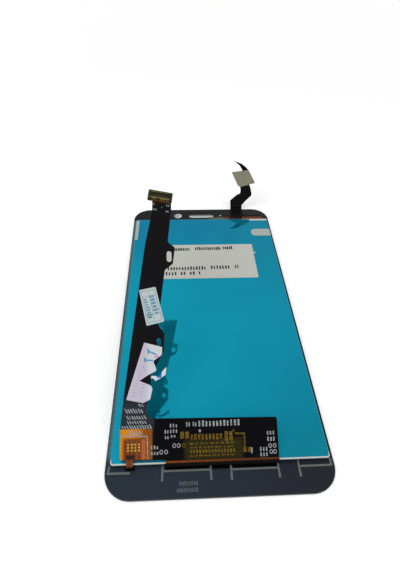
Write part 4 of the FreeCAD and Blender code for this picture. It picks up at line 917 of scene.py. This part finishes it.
# %% Ring round the camera window
CAMERA_WINDOW = (-11.9, 64.25)
INK_RING = (2.4, 1.83)
GREY_RING_MIDDLE = (-12.3, 64.4)
GREY_RING_SIZE = (1.1, 0.6)
window_surface = surface_of("printed_border", "cover_glass")
window_ink = ink_finish("window_ink", colour(14, 14, 16), colour(24, 24, 26), 0.35)
form = bmesh.new()
print_ring(form, window_surface, CAMERA_WINDOW, *INK_RING, segments=40)
finished_piece("camera_window_ring", form, window_ink)

# %% Grey ring in the camera window
grey_ring_ink = ink_finish("grey_ring_ink", colour(92, 98, 96), colour(126, 134, 132), 0.5)
form = bmesh.new()
print_ring(form, window_surface, GREY_RING_MIDDLE, *GREY_RING_SIZE, segments=24)
finished_piece("camera_window_grey_ring", form, grey_ring_ink)

# %% Faint marks on the lower border
faint_ink = ink_finish("faint_ink", colour(58, 66, 72), colour(84, 91, 94), 0.4)
form = bmesh.new()
print_row(form, border_surface, -12.3, -66.2, -6.7, -64.9, 8, 61, 0.85)
print_row(form, border_surface, -13.0, -68.0, -6.7, -66.7, 9, 62, 0.85)
finished_piece("border_marks", form, faint_ink)

# %% [markdown]
# ## Print on the labels
#
# The large label has three rows of black print, and the labels on the arm have blue, pink and lilac
# marks, some of them cut off where the label is torn. Here too only bars, dots and lines stand for
# what was written, at the height and the spacing of the real rows.

# %% Rows on the large label
label_surface = surface_of("rear_label")
label_ink = ink_finish("label_ink", colour(14, 15, 16), colour(44, 45, 46), 0.5)
form = bmesh.new()
LABEL_ROWS = [
    (-13.9, 34.5, -6.5, 36.7, 9), (-4.2, 34.8, 7.8, 37.0, 14), (8.7, 35.1, 13.3, 37.3, 5),
    (-16.6, 21.6, 0.6, 23.9, 14), (2.3, 22.0, 11.1, 24.3, 7), (12.9, 22.3, 15.1, 24.6, 2),
    (-17.4, 18.4, -12.2, 20.6, 4), (-10.9, 18.5, -8.3, 20.7, 2), (-7.0, 18.6, -4.4, 20.8, 2),
    (-3.1, 18.7, -1.8, 20.9, 1),
]
TOP_ROW_PARTS = 3
for seed, (left, lower, right, upper, count) in enumerate(LABEL_ROWS):
    fill = 0.8 if seed < TOP_ROW_PARTS else 0.62
    print_row(form, label_surface, left, lower, right, upper, count, 70 + seed, fill)
finished_piece("label_rows", form, label_ink)

# %% Flake at the large label's edge
film_surface = surface_of("protective_film")
form = bmesh.new()
print_field(form, film_surface, 22.4, 32.3, 23.4, 33.0, math.radians(12))
finished_piece("label_flake", form, rear_label_finish)

# %% Marks on the arm label
arm_label_surface = surface_of("arm_label")
blue_ink = ink_finish("blue_ink", colour(76, 126, 162), colour(120, 164, 188), 0.5)
form = bmesh.new()


def print_column(form, surface, start, end, count, wide, seed, fill):
    """A column of short marks across the line from start to end."""
    draw = random.Random(seed)
    run = Vector(end) - Vector(start)
    across = Vector((-run.y, run.x)).normalized()
    for index in range(count):
        middle = Vector(start) + run * ((index + 0.5) / count)
        half = across * wide / 2 * draw.uniform(0.6, 1.0)
        print_line(form, surface, middle - half, middle + half, run.length / count * fill)


print_column(form, arm_label_surface, (-20.8, -14.3), (-18.7, -20.7), 6, 1.9, 81, 0.7)
print_column(form, arm_label_surface, (-22.8, -15.6), (-20.9, -21.4), 7, 1.4, 82, 0.6)
finished_piece("arm_label_marks", form, blue_ink)

# %% Darker marks at the arm label's end
slate_ink = ink_finish("slate_ink", colour(74, 96, 104), colour(112, 130, 132), 0.5)
form = bmesh.new()
print_column(form, arm_label_surface, (-21.25, -20.4), (-20.85, -22.0), 2, 2.2, 86, 0.55)
finished_piece("arm_label_spots", form, slate_ink)

# %% Frame line of the arm label
frame_ink = ink_finish("frame_ink", colour(122, 150, 146), colour(150, 174, 168), 0.5)
form = bmesh.new()
FRAME_CORNERS = [(-24.1, -13.4), (-19.7, -12.5), (-17.1, -22.3), (-21.6, -23.3)]
CELL_LINES = [((-21.9, -12.95), (-19.35, -22.8)), ((-23.6, -15.3), (-19.2, -14.3)),
              ((-22.2, -21.1), (-17.7, -20.1))]
OUTER_LINE = 0.22
CELL_LINE = 0.16
for index, start in enumerate(FRAME_CORNERS):
    print_line(form, arm_label_surface, start, FRAME_CORNERS[(index + 1) % 4], OUTER_LINE)
for start, end in CELL_LINES:
    print_line(form, arm_label_surface, start, end, CELL_LINE)
finished_piece("arm_label_frame", form, frame_ink)

# %% Blue lines on the torn label
torn_surface = surface_of("torn_label")
teal_ink = ink_finish("teal_ink", colour(30, 118, 168), colour(60, 158, 190), 0.5)
form = bmesh.new()
BLUE_STROKES = [((-21.3, -31.9), (-19.1, -32.8), 0.38), ((-21.45, -31.2), (-21.25, -32.6), 0.5),
                ((-22.3, -34.45), (-19.8, -34.62), 0.38), ((-22.45, -33.8), (-22.2, -35.1), 0.5)]
for start, end, width in BLUE_STROKES:
    print_line(form, torn_surface, start, end, width)
finished_piece("torn_label_lines", form, teal_ink)

# %% Dot and lilac marks on the torn label
pink_ink = ink_finish("pink_ink", colour(190, 128, 186), colour(216, 156, 208), 0.5)
form = bmesh.new()
DOT_MIDDLE = (-18.95, -33.3)
DOT_RADIUS = 0.62
dot = bmesh.ops.create_circle(form, cap_ends=True, segments=16, radius=DOT_RADIUS * MM)["verts"]
bmesh.ops.translate(form, vec=(DOT_MIDDLE[0] * MM, DOT_MIDDLE[1] * MM, 0), verts=dot)
drop_on(torn_surface, dot)
thicken(form, [dot[0].link_faces[0]])
finished_piece("torn_label_dot", form, pink_ink)

lilac_ink = ink_finish("lilac_ink", colour(158, 142, 186), colour(182, 168, 204), 0.5)
form = bmesh.new()
print_line(form, torn_surface, (-22.95, -36.2), (-22.1, -37.8), 0.22)
print_column(form, torn_surface, (-25.8, -44.8), (-23.5, -37.2), 9, 1.1, 84, 0.25)
print_column(form, torn_surface, (-23.5, -44.6), (-22.6, -41.0), 4, 1.0, 85, 0.25)
finished_piece("torn_label_marks", form, lilac_ink)

# %% [markdown]
# ## Small parts of the connector and the earpiece
#
# In the connector's groove lies a lighter strip, the side of its inner wall, and a row of short tails
# shows below it. The slot for the earpiece shows pale grey, so a fine gauze is put in it here, which
# is a guess; its grey is in part painted shade of the slot, and its far side is painted darker, as
# painted shade under the slot's upper rim. The gauze is a disc whose two halves are moved apart,
# which makes a slot shape with round ends, and then it is extruded to its thickness.

# %% Strip in the connector
socket_surface = surface_of("connector_body")
inner_wall_finish = ink_finish("strip_finish", colour(70, 32, 20), colour(112, 72, 46), 0.5)
form = bmesh.new()
print_line(form, socket_surface, (-19.9, 22.35), (-15.3, 22.25), 0.16)
finished_piece("connector_strip", form, inner_wall_finish)

# %% Solder tails below the connector
TAIL_COUNT = 14
TAIL_PITCH = 0.52
TAIL_DROP = 0.045
TAIL_SIZE = (0.28, 0.42)
FIRST_TAIL = (-21.5, 20.55)
form = bmesh.new()
for index in range(TAIL_COUNT):
    left = FIRST_TAIL[0] + index * TAIL_PITCH
    lower = FIRST_TAIL[1] - TAIL_DROP * index
    print_field(form, main_surface, left, lower, left + TAIL_SIZE[0], lower + TAIL_SIZE[1])
finished_piece("connector_tails", form, contact_finish)

# %% Gauze in the earpiece slot
SLOT_MIDDLE = (0, 64.25)
SLOT_HALF_RUN = 4.55
SLOT_RADIUS = 1.83
GAUZE_LOWER = 0.1 * MM
GAUZE_THICK = 0.1 * MM
gauze_finish, tree, shader, place, split = zoned_finish("gauze_finish", 0.6, 0.0, 0.2)
threads = combine(tree, "MULTIPLY", stripes(tree, place, 0.16, "X"), stripes(tree, place, 0.16, "Y"))
cloth = blend_colours(tree, threads, colour(196, 202, 202), colour(168, 176, 176))
# The far side is painted darker: painted shade under the slot's upper rim.
painted_shade_far_side = spread(tree, split.outputs["Y"], 0, 0.9, 64.2, 65.4)
paint(tree, shader, blend_colours(tree, painted_shade_far_side, cloth, colour(84, 90, 90)),
      spread(tree, threads, 0.5, 0.7))
relief(tree, shader, threads, 0.02)
gauze = bmesh.new()
rim = bmesh.ops.create_circle(gauze, cap_ends=True, segments=32, radius=SLOT_RADIUS * MM)["verts"]
for point in rim:
    point.co.x += math.copysign(SLOT_HALF_RUN * MM, point.co.x)
thicken(gauze, gauze.faces[:], GAUZE_THICK)
slot_place = (SLOT_MIDDLE[0] * MM, SLOT_MIDDLE[1] * MM, GAUZE_LOWER)
bmesh.ops.translate(gauze, vec=slot_place, verts=gauze.verts[:])
finished_piece("earpiece_gauze", gauze, gauze_finish)
